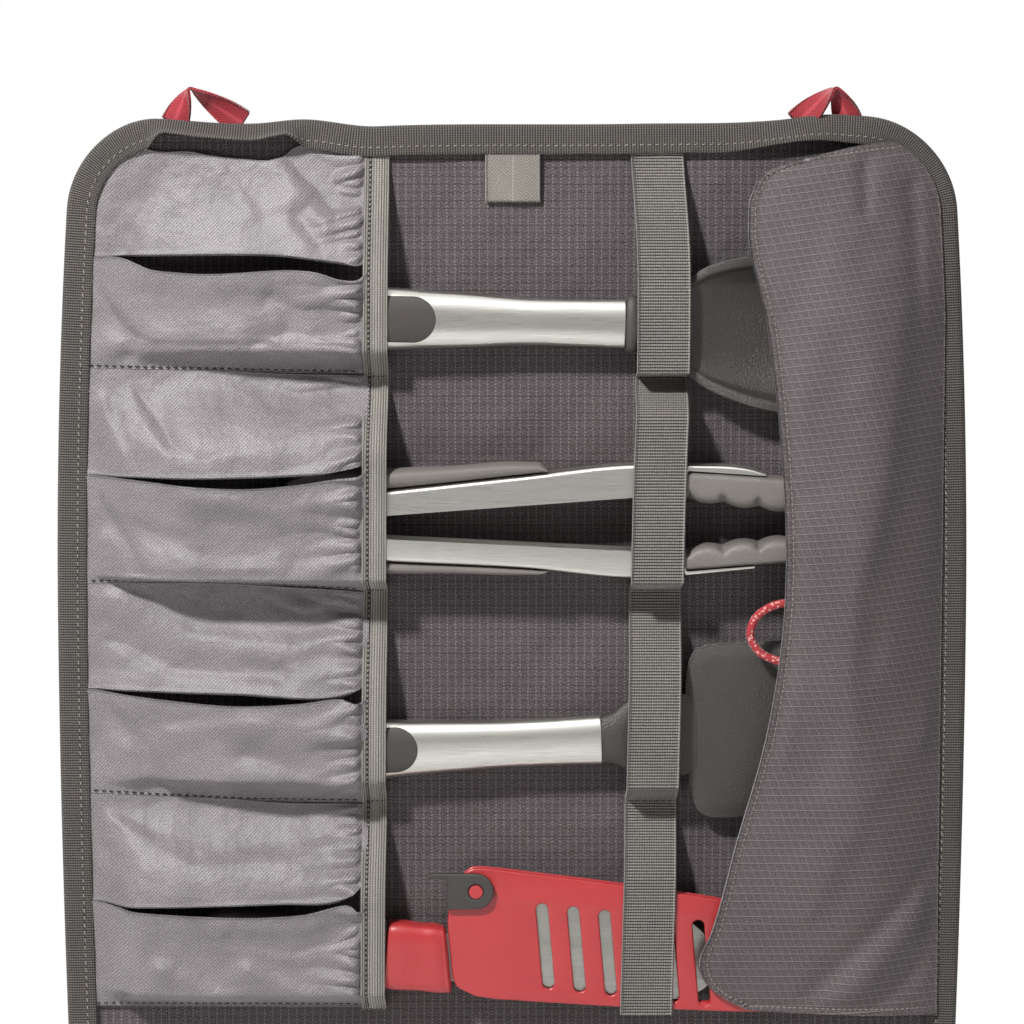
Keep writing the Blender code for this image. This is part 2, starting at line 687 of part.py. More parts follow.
def build_binding():
    """Tape folded round the panel's edge: one U-shaped section carried round the outline."""
    rim = roll_edge(0.0)
    run = np.roll(rim, -1, 0) - np.roll(rim, 1, 0)
    run /= np.linalg.norm(run, axis=1, keepdims=True)
    inward = np.stack([-run[:, 1], run[:, 0]], 1)
    outer = front(BINDING_OUTER)
    inner = front(BINDING_INNER)
    wrap = TAPE_THICK
    back = PANEL_HALF + GAP
    section = (
        (0, outer), (BINDING_WIDTH, outer), (BINDING_WIDTH, inner), (wrap, inner),
        (wrap, back), (BINDING_WIDTH, back), (BINDING_WIDTH, back + wrap), (0, back + wrap),
    )
    rings = []
    for (x, z), (nx, nz) in zip(rim, inward):
        rings.append([(x + nx * a, y, z + nz * a) for a, y in section])
    loft("edge_binding", rings, "edge_tape", closed=True)


def pocket_reach(row):
    """Where the swelling of a row's pocket is full, set by the left end of what it holds."""
    spoon = STRAP_RIGHT + SPOON_HANDLE_END - 0.006
    tongs = TONGS_X - 0.019
    turner = STRAP_RIGHT + TURNER_HANDLE_END - 0.006
    knife = KNIFE_X + GRIP_END * math.cos(KNIFE_TILT) - 0.0265
    return (spoon, tongs, turner, knife)[row]


def build_pocket(row, tool):
    """The two satin pieces of one row: a cover sewn along its top, and a pocket sewn along its bottom.

    Both swell over the handle inside. The swelling follows the elastic band at the right edge and dies away
    towards the left binding.
    """
    top, bottom = row_line(row), row_line(row + 1)
    slit = top - SLIT_DROP
    low, high, deep = tool
    right = ELASTIC_LEFT - GAP
    full = pocket_reach(row)

    def cloth(name, z, swell):
        """One piece of satin from its heights, an array of rows by columns, and its extra depth."""
        edge = -side_x(z, BINDING_WIDTH)
        tuck = -side_x(z, BINDING_WIDTH - CLOTH_TUCK)
        x = np.where(TO_FULL >= 0, edge + (full - edge) * TO_FULL, tuck)
        x = np.where(TO_EDGE > 0, full + (right - full) * TO_EDGE, x)
        lift = deep + TOOL_ROOM + CLOTH_THICK / 2 - CLOTH_DEPTH
        up = smooth_step((top - z) / (top - high))
        down = smooth_step((z - bottom) / (low - bottom))
        over = smooth_step((x - edge) / (full - edge))
        bow = np.sin(math.pi * np.clip((x - edge) / (right - edge), 0, 1))
        y = front(CLOTH_DEPTH + lift * np.minimum(up, down) * over + swell * bow)
        sheet(name, np.stack([x, y, z], 2), CLOTH_THICK, "pocket_satin")

    level = np.clip((POCKET_COLUMNS - 1) / (COLUMNS - 2), 0, 1)
    first = top + CLOTH_TUCK if row == 0 else top - GAP
    lift = HEM_LIFT * smooth_step((level - 0.6) / 0.4)
    down = np.linspace(0, 1, 7)[:, None]
    cloth(f"pocket_cover_{row + 1}", first + (slit - first) * down + lift * down**2, HEM_SWELL * down**3)

    mouth = slit - GAP - SLIT_OPEN * np.sin(math.pi * level) ** 0.7
    upper = mouth + (low - mouth) * np.linspace(0, 1, 4)[:, None]
    last = bottom + GAP
    lower = low + (last - low) * np.linspace(0, 1, 5)[1:, None] + 0 * mouth
    fade = np.array([1.0, 0.45, 0.1, 0, 0, 0, 0, 0])[:, None]
    cloth(f"pocket_{row + 1}", np.concatenate([upper, lower]), MOUTH_SWELL * fade)


def build_bands():
    strip("elastic_band", band_path(tools_under_elastic(), ELASTIC_THICK), ELASTIC_THICK, ELASTIC_WIDTH,
          ELASTIC_X, "ribbed_elastic")
    strip("webbing_strap", band_path(tools_under_strap(), STRAP_THICK), STRAP_THICK, STRAP_WIDTH,
          STRAP_X, "ribbed_webbing")


def build_tab():
    """A folded tape loop that hangs below the top binding and swings forward about its upper end."""
    near = GAP + TAB_THICK / 2
    far = near + TAB_THICK + TAB_GAP
    radius = (far - near) / 2
    foot = -TAB_LENGTH + radius + TAB_THICK / 2
    down = [(front(far), z) for z in np.linspace(0, foot, 4)]
    bend = [(front(near + radius) + radius * math.cos(a), foot + radius * math.sin(a))
            for a in np.radians([-150, -120, -90, -60, -30])]
    up = [(front(near), z) for z in np.linspace(foot, 0, 4)]
    tab = strip("loop_tab", [*down, *bend, *up], TAB_THICK, TAB_WIDTH, TAB_X, "herringbone_tape")
    tab.location.z = ROW_TOP - TACK_DROP


def build_hang_loops():
    """Red webbing loops: two legs that stand on the top edge and meet where the loop hangs."""
    foot = ROLL_TOP + GAP
    for name, sign in (("hang_loop_left", -1), ("hang_loop_right", 1)):
        near = [(-HANG_WIDTH, foot), (0, foot), HANG_INSIDE]
        legs = [*near, (HANG_SPREAD - HANG_FOOT, foot), (HANG_SPREAD, foot), *HANG_CROWN]
        loop = [(-sign * u, v) for u, v in legs]
        obj = outline(name, [loop], HANG_THICK, "red_webbing")
        obj.location.x = sign * HANG_X


def flap_depth(s, z):
    """Depth of the flap's middle at distance s from its hinge: a quarter sine rise, then level."""
    height = along(FLAP_HEIGHTS, z)
    return FLAP_AXIS_DEPTH + height * np.sin(math.pi / 2 * np.clip(s / FLAP_RISE, 0, 1))


def build_flap():
    """Side flap over the tool heads, hinged on a vertical line beside the right binding."""
    v = np.concatenate([[0, 0.018], np.linspace(0.045, 0.955, 14), [0.985, 1]])[:, None]
    u = np.concatenate([np.linspace(0, 0.45, 8), np.linspace(0.45, 1, 7)[1:]])[None, :]
    z_mid = FLAP_TOP + (FLAP_BOTTOM - FLAP_TOP) * v
    right = np.minimum(FLAP_HINGE_X, side_x(z_mid, BINDING_WIDTH - FLAP_LAP))
    left = along(FLAP_EDGE, z_mid)
    x = right + (left - right) * u
    sag_top = -0.0135 * (1 - v) ** 14 * u**1.5
    rise_bottom = 0.0050 * v**40 * u
    z = z_mid + sag_top + rise_bottom
    y = front(flap_depth(right - x, z))
    obj = sheet("flap", np.stack([x, y, z + 0 * x], 2) - pivot_point("flap"), FLAP_THICK, "flap_ripstop")
    obj.location = pivot_point("flap")


def pivot_point(name):
    """Where each moving piece turns."""
    points = {
        "flap": (FLAP_HINGE_X, front(FLAP_AXIS_DEPTH), 0),
        "tongs": (TONGS_X, front(TONGS_DEPTH), TONGS_Z),
        "latch": tuple(knife_frame() @ Vector((LATCH_X, 0, LATCH_Z))),
    }
    return np.array(points[name])


def build_cord():
    """Cord loop sewn under the flap by a small webbing patch: it leads out past the flap's edge and back."""
    wide, tall, thick = CORD_PATCH
    x, z = CORD_PATCH_AT

    def under(height, below):
        return float(flap_depth(FLAP_HINGE_X - x, height)) - FLAP_THICK / 2 - CORD_ROOM - below

    half = tall / 2
    slope = math.atan2(under(z + half, 0) - under(z - half, 0), tall)
    patch = box("cord_patch", (wide, thick, tall), (0, 0, 0), "ribbed_webbing")
    patch.location = (x, front(under(z, thick / 2)), z)
    patch.rotation_euler.x = slope
    start = x - wide / 2 - GAP
    first = [(start - back, 0, height) for back, height in CORD_FIRST]
    last = [(start - back, 0, height) for back, height in CORD_LAST]
    route = [*first, *CORD_ROUTE, *last]
    route = np.array([(px, front(under(pz, CORD_DIAMETER / 2) - sunk), pz) for px, sunk, pz in route])
    steps = np.linspace(0, len(route) - 1, 27)
    places = np.arange(len(route))
    smooth = np.stack([along(list(zip(places, route[:, k])), steps) for k in range(3)], 1)
    wire("cord_loop", smooth, CORD_DIAMETER, "red_cord")


def handle_stations(end, tip, half, waist, plug_end):
    """Stations of a flattened steel handle with a rounded end, narrowing towards its head."""
    thick = HANDLE_HALF_THICK
    stations = [(end + back, half * wide, thick * deep, 0, 0, 0) for back, wide, deep in HANDLE_ROUND]
    stations += [
        (plug_end, half, thick, 0, 0, 0),
        (plug_end + HANDLE_SHOULDER, half * 0.95, thick * 0.97, 0, 0, 0),
        (plug_end + HANDLE_WAIST, waist * 1.01, thick * 0.92, 0, 0, 0),
        (tip - HANDLE_FLARE, waist, thick * 0.88, 0, 0, 0),
        (tip, waist * 1.03, thick * 0.86, 0, 0, 0),
    ]
    return stations


def build_handle(prefix, end, tip, half, waist, plug_end, at):
    """A steel handle and the soft plug let into its front at the end."""
    stations = handle_stations(end, tip, half, waist, plug_end)
    handle = loft(f"{prefix}_handle", bar_rings(stations), "brushed_steel", at=at)
    proud = [(x, w, t + PLUG_PROUD, z, d, s) for x, w, t, z, d, s in stations]
    plug = loft(f"{prefix}_plug", bar_rings(proud), "soft_rubber", at=at)

    def recess(name, half_height, reach, back):
        centre = (reach - half_height, 0)
        near = end + PLUG_INSET
        loop = [(near, -half_height), *arc(centre, half_height, -90, 90, 10), (near, half_height)]
        obj = outline(name, [loop], HANDLE_HALF_THICK * 2, "soft_rubber")
        for vertex in obj.data.vertices:
            vertex.co.y += back - HANDLE_HALF_THICK
        obj.matrix_world = at
        return obj

    combine(handle, recess(f"{prefix}_recess", PLUG_HALF, plug_end, 0.0), "DIFFERENCE")
    combine(plug, recess(f"{prefix}_plug_outline", PLUG_HALF - GAP, plug_end - GAP, -GAP), "INTERSECT")


def build_spoon():
    at = tilted(STRAP_RIGHT, SPOON_Z, SPOON_TILT, SPOON_DEPTH)
    half, waist = SPOON_HANDLE_HALF, SPOON_NECK_HALF
    build_handle("spoon", SPOON_HANDLE_END, SPOON_HANDLE_TIP, half, waist, PLUG_END, at)
    start = SPOON_HANDLE_TIP + GAP
    stop = start + SPOON_COLLAR
    collar = [
        (start, *COLLAR_EDGE, 0, 0, 0), (start + COLLAR_RIM, *COLLAR_FULL, 0, 0, 0),
        (stop - COLLAR_RIM, *COLLAR_FULL, 0, 0, 0), (stop, *COLLAR_EDGE, 0, 0, 0),
    ]
    loft("spoon_collar", bar_rings(collar), "soft_rubber", at=at)
    head = [(stop + GAP, *SPOON_ROOT), *SPOON_HEAD]
    loft("spoon_head", bar_rings(head, power=2.0, sides=22), "dark_nylon", at=at)


def build_turner():
    at = tilted(STRAP_RIGHT, TURNER_Z, TURNER_TILT, TURNER_DEPTH)
    half, waist = TURNER_HALF, TURNER_WAIST_HALF
    build_handle("turner", TURNER_HANDLE_END, TURNER_HANDLE_TIP, half, waist, TURNER_PLUG_END, at)
    tall = TURNER_BLADE_HEIGHT / 2
    edge = rounded_box(0, TURNER_BLADE_LENGTH, -tall, tall, TURNER_BLADE_RADIUS)
    plate = outline("turner_head", [edge], TURNER_BLADE_THICK, "dark_nylon", round_edge=TURNER_BLADE_EDGE)
    plate.matrix_world = at @ Matrix.Translation(TURNER_BLADE_AT)
    neck = [(TURNER_HANDLE_TIP + GAP, *TURNER_ROOT), *TURNER_NECK]
    combine(plate, loft("turner_neck", bar_rings(neck), "dark_nylon", at=at), "UNION")


def place_on(obj, at):
    """Moves an object to its place."""
    obj.location = at


def inner_edge(start, stop, sign, steps=18):
    """The gripping edge of a tong head from its tip back to the arm: a gentle curve with rounded scallops."""
    u = np.linspace(stop[0], start[0], steps + 1)
    t = (u - start[0]) / (stop[0] - start[0])
    v = start[1] + (stop[1] - start[1]) * smooth_step(t) - sign * BITE_SAG * np.sin(math.pi * t)
    v += sign * SCALLOP * np.abs(np.sin(math.pi * u / SCALLOP_PITCH))
    return list(zip(u, v))


def channel(name, points, width, web_side, at):
    """A steel arm: an outline extruded across the tongs and hollowed from its inner side."""
    arm = outline(name, [points], width, "brushed_steel")
    inside = [(u, v - web_side * STEEL_WALL) for u, v in points]
    beyond = 0.02
    far = -web_side * 0.03
    web = inside[1:9]
    start, stop = web[0][0] - beyond, web[-1][0] + beyond
    hollow = [(start, far), (start, web[0][1]), *web, (stop, web[-1][1]), (stop, far)]
    core = outline(f"{name}_hollow", [hollow], width - 2 * STEEL_WALL, "brushed_steel")
    hole = rod(f"{name}_hole", PIN_RADIUS + GAP, width * 2, (0, 0, 0), "brushed_steel", sides=20)
    for obj in (arm, core, hole):
        obj.location = at
    combine(arm, core, "DIFFERENCE")
    combine(arm, hole, "DIFFERENCE")


def build_tongs():
    """Locking tongs: two channel arms on one pin, a spring round the pin and a lock that slides on it."""
    at = Vector(pivot_point("tongs"))
    arms = (
        ("upper", TONG_UPPER, UPPER_WIDTH, UPPER_HEAD_BACK, UPPER_BITE, 1, 1.0),
        ("lower", TONG_LOWER, LOWER_WIDTH, LOWER_HEAD_BACK, LOWER_BITE, -1, LOWER_GRIP_SHARE),
    )
    for name, points, width, back, bite, side, share in arms:
        channel(f"tongs_{name}_arm", points, width, side, at)
        head = [*back, *inner_edge(*bite, side)]
        place_on(outline(f"tongs_{name}_head", [head], HEAD_WIDTH, "dark_nylon", round_edge=HEAD_EDGE), at)
        places = np.array(GRIP_PLACES)
        steel = np.interp(places, *np.array(points[2:6]).T) + side * GAP
        outer = steel + side * share * np.array(GRIP_THICK)
        grip = [*zip(places, steel), *zip(places[::-1], outer[::-1])]
        place_on(outline(f"tongs_{name}_grip", [grip], GRIP_WIDTH, "soft_rubber", round_edge=GRIP_EDGE), at)
    pin = rod("tongs_pivot_pin", PIN_RADIUS, LOWER_WIDTH + 0.0012, (0, 0, 0), "brushed_steel", sides=20)
    place_on(pin, at)
    build_spring(at)
    build_lock(at)


def build_spring(at):
    """Torsion spring: close turns round the pin, with a leg lying in each arm."""
    coil = PIN_RADIUS + GAP + 0.0004 + SPRING_WIRE / 2
    pitch = SPRING_WIRE + SPRING_SPACE
    start = LOCK_THICK / 2 + 2 * GAP + SPRING_WIRE
    per_turn = 12
    turn = np.arange(SPRING_TURNS * per_turn + 1) * 2 * math.pi / per_turn
    helix = [(coil * math.sin(a), -(start + pitch * a / (2 * math.pi)), coil * math.cos(a)) for a in turn]
    first = (SPRING_LEG, helix[0][1], coil + 0.0010)
    last = (SPRING_LEG, helix[-1][1], coil + 0.0004)
    obj = wire("tongs_spring", [first, *helix, last], SPRING_WIRE, "brushed_steel", resolution=1)
    obj.location = at


def build_lock(at):
    """Pull tab with a ring: its slot slides on the pin, between the arms."""
    slot = PIN_RADIUS + GAP
    ring_at = (-LOCK_REACH, 0.0)
    neck = math.degrees(math.asin(LOCK_HALF / LOCK_RING))
    nose = [(LOCK_NOSE, -LOCK_HALF), (LOCK_NOSE, LOCK_HALF)]
    body = [*nose, *arc(ring_at, LOCK_RING, neck, 360 - neck, 26)]
    hole = arc(ring_at, LOCK_RING - LOCK_RIM, 0, 345, 17)
    slide = [*arc((0.0, 0), slot, 90, 270, 8), *arc((LOCK_TRAVEL, 0), slot, -90, 90, 8)]
    run = [(u - LOCK_TRAVEL, v) for u, v in slide]
    obj = outline("tongs_lock_tab", [body, hole, run], LOCK_THICK, "soft_rubber", round_edge=0.0004)
    obj.location = at


def knife_frame():
    return tilted(KNIFE_X, KNIFE_Z, KNIFE_TILT, KNIFE_DEPTH)


def build_knife():
    at = knife_frame()
    blade = outline("knife_blade", [BLADE_OUTLINE], BLADE_THICK, "blade_steel", round_edge=0.0004)
    blade.matrix_world = at
    bolster = [(GRIP_TIP + GAP, *BOLSTER_BACK), *BOLSTER]
    end = [(GRIP_END + back, wide, thick) for back, wide, thick in KNIFE_GRIP_ROUND]
    palm = (GRIP_END + KNIFE_GRIP_PALM, KNIFE_GRIP_HALF, KNIFE_GRIP_HALF_THICK)
    grip = [*end, palm, *KNIFE_GRIP, (GRIP_TIP, *KNIFE_GRIP_FRONT)]
    mouldings = (("knife_bolster", bolster, "red_plastic"), ("knife_grip", grip, "soft_rubber"))
    for name, shape, material in mouldings:
        rings = bar_rings([(x, w, t, KNIFE_GRIP_DROP, 0, 0) for x, w, t in shape], power=2.8)
        loft(name, rings, material, at=at)


def build_sheath():
    """Flat sheath: a shell over the blade, open at its mouth, with a row of leaning slots through it."""
    at = knife_frame()
    holes = []
    for n in range(SLOTS):
        centre = np.array([SLOT_START + n * SLOT_PITCH, SLOT_HEIGHT - n * SLOT_FALL])
        axis = np.array([math.sin(-SLOT_LEAN), math.cos(SLOT_LEAN)])
        radius = SLOT_WIDTH / 2
        reach = SLOT_LENGTH / 2 - radius
        lean = math.degrees(SLOT_LEAN)
        top = arc(centre + axis * reach, radius, lean, 180 + lean, 5)
        foot = arc(centre - axis * reach, radius, 180 + lean, 360 + lean, 5)
        holes.append([*top, *foot])
    sheath = outline("knife_sheath", [SHEATH_OUTLINE, *holes], SHEATH_THICK, "red_plastic", round_edge=0.0010)
    sheath.matrix_world = at
    blade = np.array(BLADE_OUTLINE)
    reach, top = blade.max(0) + BLADE_PLAY
    bottom = blade[:, 1].min() - BLADE_PLAY
    cut = CAVITY_CUT
    cavity = [
        (CAVITY_MOUTH, bottom), (reach - cut, bottom), (reach, bottom + cut), (reach, top - cut),
        (reach - cut, top), (CAVITY_MOUTH, top),
    ]
    core = outline("sheath_cavity", [cavity], CAVITY, "red_plastic")
    core.matrix_world = at
    combine(sheath, core, "DIFFERENCE")
    build_latch(at)


def build_latch(at):
    """Swinging latch on a rivet at the sheath's upper corner."""
    point = Vector(pivot_point("latch"))
    point.y = front(KNIFE_DEPTH + SHEATH_THICK / 2 + GAP + LATCH_THICK / 2)
    body = [(LATCH_LEFT, -LATCH_RADIUS), *arc((0, 0), LATCH_RADIUS, -90, 90, 10), *LATCH_ARM]
    hole = arc((0, 0), RIVET_RADIUS + GAP, 0, 345, 23)
    latch = outline("sheath_latch", [body, hole], LATCH_THICK, "dark_nylon", round_edge=0.0006)
    latch.location = point
    rivet = rod("latch_rivet", RIVET_RADIUS, LATCH_THICK + 0.0004, (0, 0, 0), "red_plastic", sides=22)
    rivet.location = point


def build_closing_straps():
    """Two webbing straps sewn on the back, each with a side-release buckle."""
    back = PANEL_HALF + GAP
    for side, sign in (("left", -1), ("right", 1)):
        x = sign * CLOSE_X
        y = back + CLOSE_THICK / 2
        anchor = box(f"strap_anchor_{side}", (STRAP_WIDTH, CLOSE_THICK, ANCHOR_LENGTH),
                     (0, 0, ANCHOR_LENGTH / 2 + CLOSE_FOLD), "ribbed_webbing")
        anchor.location = (x, y, CLOSE_TOP)
        tail = box(f"closing_strap_{side}", (STRAP_WIDTH, CLOSE_THICK, CLOSE_LENGTH),
                   (0, 0, -CLOSE_LENGTH / 2 - GAP), "ribbed_webbing")
        tail.location = (x, y, CLOSE_TOP)
        build_buckle(side, x, back)


def build_buckle(side, x, back):
    """Socket half above the anchor, and the pronged half at the strap's end."""
    half = BUCKLE_WIDTH / 2
    thick = BUCKLE_THICK
    socket = outline(f"buckle_socket_{side}", [rounded_box(-half, half, 0, BUCKLE_LENGTH, BUCKLE_RADIUS)],
                     thick, "black_acetal", round_edge=0.0012)
    room = thick - 2 * BUCKLE_WALL
    beyond = 0.01
    inner = half - BUCKLE_WALL
    throat = rounded_box(-inner, inner, THROAT_FOOT, BUCKLE_LENGTH + beyond, 0.001, 1)
    inside = outline("socket_hollow", [throat], room, "black_acetal")
    size = (BUCKLE_WIDTH + beyond, room - GAP, WINDOW_TALL)
    window = box("socket_window", size, (0, 0, WINDOW_Z), "black_acetal")
    place = (x, back + thick / 2, CLOSE_TOP + CLOSE_FOLD + ANCHOR_LENGTH + GAP)
    for obj in (socket, inside, window):
        obj.location = place
    combine(socket, inside, "DIFFERENCE")
    combine(socket, window, "DIFFERENCE")
    reach, bar, prong, hook = PRONG_REACH, PLUG_BAR, PRONG_WIDTH, PRONG_HOOK
    edge = inner - GAP
    root = bar + 0.001
    right = [
        (half, 0), (half, bar), (edge, bar + 0.002), (edge, reach - 0.008), (edge + hook, reach - 0.006),
        (edge - 0.002, reach), (edge - prong, reach - 0.003), (edge - prong, root), (0.003, root),
        (0.003, reach - 0.003),
    ]
    left = [(-u, v) for u, v in right[::-1]]
    fork = [(u, -v) for u, v in [*right, *left]][::-1]
    plug = outline(f"buckle_plug_{side}", [fork], room - 2 * GAP, "black_acetal", round_edge=0.0006)
    plug.location = (x, back + thick / 2, CLOSE_TOP - CLOSE_LENGTH - 2 * GAP)


def build_roll():
    build_panel()
    build_binding()
    for row, tool in enumerate(tools_under_elastic()):
        build_pocket(row, tool)
    build_bands()
    build_tab()
    build_hang_loops()
    build_flap()
    build_cord()


build_roll()
build_spoon()
build_tongs()
build_turner()
build_knife()
build_sheath()
build_closing_straps()
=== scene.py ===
"""Looks of the camp kitchen utensil roll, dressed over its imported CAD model.

Metres, +Z up, and the front faces -Y. A class stands for each sub-assembly: its fields are sizes, its methods
work surfaces out with numpy and give them their finishes. Depth means distance in front of the panel's face.
"""

import logging
import math
from collections.abc import Sequence
from dataclasses import dataclass
from enum import Enum

import bpy
import numpy as np
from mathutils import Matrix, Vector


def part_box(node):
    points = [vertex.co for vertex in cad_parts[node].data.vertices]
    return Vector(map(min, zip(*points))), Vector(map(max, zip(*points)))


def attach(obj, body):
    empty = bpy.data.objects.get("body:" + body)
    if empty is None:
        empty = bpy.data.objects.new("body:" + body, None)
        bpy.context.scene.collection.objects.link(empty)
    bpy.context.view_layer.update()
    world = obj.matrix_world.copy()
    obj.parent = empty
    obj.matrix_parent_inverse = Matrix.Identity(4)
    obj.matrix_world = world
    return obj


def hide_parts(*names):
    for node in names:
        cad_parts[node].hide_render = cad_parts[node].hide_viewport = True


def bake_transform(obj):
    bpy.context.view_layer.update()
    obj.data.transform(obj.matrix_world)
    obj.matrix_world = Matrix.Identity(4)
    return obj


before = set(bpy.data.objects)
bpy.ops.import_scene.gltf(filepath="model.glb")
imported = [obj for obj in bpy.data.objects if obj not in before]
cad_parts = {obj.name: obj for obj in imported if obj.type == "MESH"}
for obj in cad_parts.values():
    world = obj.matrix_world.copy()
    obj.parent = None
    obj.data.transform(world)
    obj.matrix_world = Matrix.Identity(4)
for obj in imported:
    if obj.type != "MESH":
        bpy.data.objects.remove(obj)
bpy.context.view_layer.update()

LOG = logging.getLogger("utensil_roll")
MM = 0.001
Array = np.ndarray
Obj = bpy.types.Object
Socket = bpy.types.NodeSocket
Place = tuple[float, float, float]
Points = Sequence[tuple[float, float]]

TO_FRONT = np.array([0.0, -1.0, 0.0])
# Half the panel's thickness, the gap between touching pieces, the room over a tool, and the strap's right edge
PANEL_HALF = 0.0012
GAP = 0.0003
TOOL_ROOM = 0.0010
STRAP_RIGHT = 0.0799


def linear(code: str) -> tuple[float, float, float, float]:
    """Turns an sRGB hex colour to linear RGBA.

    Args:
        code: the colour, such as "#62585A".

    Returns:
        Red, green, blue and an alpha of 1.
    """
    channels = [int(code[i : i + 2], 16) / 255 for i in (1, 3, 5)]
    red, green, blue = (c / 12.92 if c <= 0.04045 else ((c + 0.055) / 1.055) ** 2.4 for c in channels)
    return red, green, blue, 1.0


def front(depth: Array | float) -> Array | float:
    """The y of a point this far in front of the panel's face."""
    return -(PANEL_HALF + depth)


def smooth_step(t: Array | float) -> Array:
    """Rises from 0 to 1 with level ends: t squared times 3 minus 2t, with t held between 0 and 1."""
    t = np.clip(t, 0.0, 1.0)
    return t * t * (3 - 2 * t)


def bump_at(value: Array, centre: Array | float, width: Array | float) -> Array:
    """A bell of height 1: e to the minus square of the distance in widths."""
    return np.exp(-(((value - centre) / width) ** 2))


def along(points: Points, at: Array | float) -> Array:
    """A smooth curve through points, as a cubic between neighbours with their mean slopes.

    Args:
        points: pairs of place and value, in rising or falling order of place.
        at: the places asked for; outside the points the end values hold.

    Returns:
        The values there.
    """
    places, values = np.array(sorted(points), float).T
    slopes = np.gradient(values, places)
    at = np.clip(at, places[0], places[-1])
    i = np.clip(np.searchsorted(places, at) - 1, 0, len(places) - 2)
    span = places[i + 1] - places[i]
    t = (at - places[i]) / span
    start = values[i] * (1 + 2 * t) * (1 - t) ** 2 + slopes[i] * span * t * (1 - t) ** 2
    stop = values[i + 1] * t * t * (3 - 2 * t) + slopes[i + 1] * span * t * t * (t - 1)
    return start + stop


def arc_length(path: Array) -> Array:
    """The distance run along a path of points, from 0 at its first one."""
    return np.concatenate([[0.0], np.cumsum(np.linalg.norm(np.diff(path, axis=0), axis=1))])


def unit(vectors: Array) -> Array:
    """The vectors at length 1."""
    return vectors / np.maximum(np.linalg.norm(vectors, axis=-1, keepdims=True), 1e-12)


def resample(path: Array, count: int) -> Array:
    """The same path with this many points at equal distances.

    Args:
        path: its points.
        count: how many points it gets.

    Returns:
        The new points.
    """
    run = arc_length(path)
    at = np.linspace(0, run[-1], count)
    return np.stack([np.interp(at, run, path[:, k]) for k in range(path.shape[1])], 1)


def space_loop(loop: Array, count: int) -> Array:
    """A closed path with this many points at equal distances, the last one not repeating the first."""
    return resample(np.concatenate([loop, loop[:1]]), count + 1)[:-1]


def column(table: Sequence | Array, number: int, at: Array) -> Array:
    """A column of a table as a smooth curve over its first column."""
    table = np.asarray(table, float)
    return along(list(zip(table[:, 0], table[:, number])), at)


def circle(count: int) -> tuple[Array, Array]:
    """The cosines and sines of equal steps round a circle."""
    turn = np.arange(count) * math.tau / count
    return np.cos(turn), np.sin(turn)


def signed_power(value: Array, power: Array | float) -> Array:
    """The size of a value raised to a power, with the value's sign."""
    return np.sign(value) * np.abs(value) ** power


def pairs(u: Array, v: Array) -> Array:
    """The grid of all pairs of two rows of values."""
    return np.stack(np.meshgrid(u, v, indexing="ij"), 2)


def fold(x: Array, z: Array, route: Points, width: float, other: float = 0.0) -> Array:
    """A ridge that follows a route of points across a cloth, and may fall faster on one side.

    The height is a bell over the distance to the nearest piece of the route.

    Args:
        x: the cloth's x values.
        z: its z values, of the same shape.
        route: points of x and z.
        width: the half width of the ridge, on the left of the route.
        other: the half width on its right, the same if 0.

    Returns:
        The ridge's height, from 0 to 1, at each point.
    """
    nearest = np.full(np.broadcast(x, z).shape, np.inf)
    reach = np.full(nearest.shape, width)
    for (ax, az), (bx, bz) in zip(route, route[1:]):
        dx, dz = bx - ax, bz - az
        t = np.clip(((x - ax) * dx + (z - az) * dz) / (dx * dx + dz * dz), 0, 1)
        away = np.hypot(x - ax - t * dx, z - az - t * dz)
        side = (dx * (z - az) - dz * (x - ax)) / (math.hypot(dx, dz) * np.maximum(away, 1e-9))
        mean, half = (width + (other or width)) / 2, (width - (other or width)) / 2
        reach = np.where(away < nearest, mean + half * np.clip(side, -1, 1), reach)
        nearest = np.minimum(nearest, away)
    return np.exp(-((nearest / reach) ** 2))


def add_mesh(name: str, points: Array, faces: list, corner_uv: Array | None = None) -> Obj:
    """Makes a mesh object from arrays, turned so that its faces point outwards.

    Args:
        name: the piece's name.
        points: the vertices, n by 3.
        faces: lists of vertex indices that close the surface.
        corner_uv: one UV pair for each corner of the faces, in metres, or None.

    Returns:
        The object, at the origin, shaded smooth.
    """
    first, second, third = (points[[face[k] for face in faces]] for k in (0, 1, 2))
    last = points[[face[-1] for face in faces]]
    volume = np.einsum("ij,ij->", first, np.cross(second, third)) + np.einsum("ij,ij->", first, np.cross(third, last))
    data = bpy.data.meshes.new(name)
    data.from_pydata(points.tolist(), [], faces)
    if corner_uv is not None:
        layer = data.uv_layers.new(name="cloth")
        layer.data.foreach_set("uv", corner_uv.astype(np.float32).ravel())
    if volume < 0:
        data.flip_normals()
    data.shade_smooth()
    return add_object(name, data)


def add_object(name: str, data: bpy.types.ID) -> Obj:
    """A new object of the scene with this data.

    Args:
        name: its name.
        data: its mesh, curve, light or camera.

    Returns:
        The object.
    """
    obj = bpy.data.objects.new(name, data)
    bpy.context.scene.collection.objects.link(obj)
    return obj


def grid_faces(rows: int, columns: int, wrap: tuple[bool, bool]) -> Array:
    """The quads of a grid of points.

    Args:
        rows: points along the first direction.
        columns: points along the second direction.
        wrap: whether each direction closes on itself.

    Returns:
        Vertex indices, four for each quad.
    """
    i, j = np.meshgrid(np.arange(rows - (not wrap[0])), np.arange(columns - (not wrap[1])), indexing="ij")
    below, beside = (i + 1) % rows, (j + 1) % columns
    quads = [i * columns + j, i * columns + beside, below * columns + beside, below * columns + j]
    return np.stack(quads, -1).reshape(-1, 4)


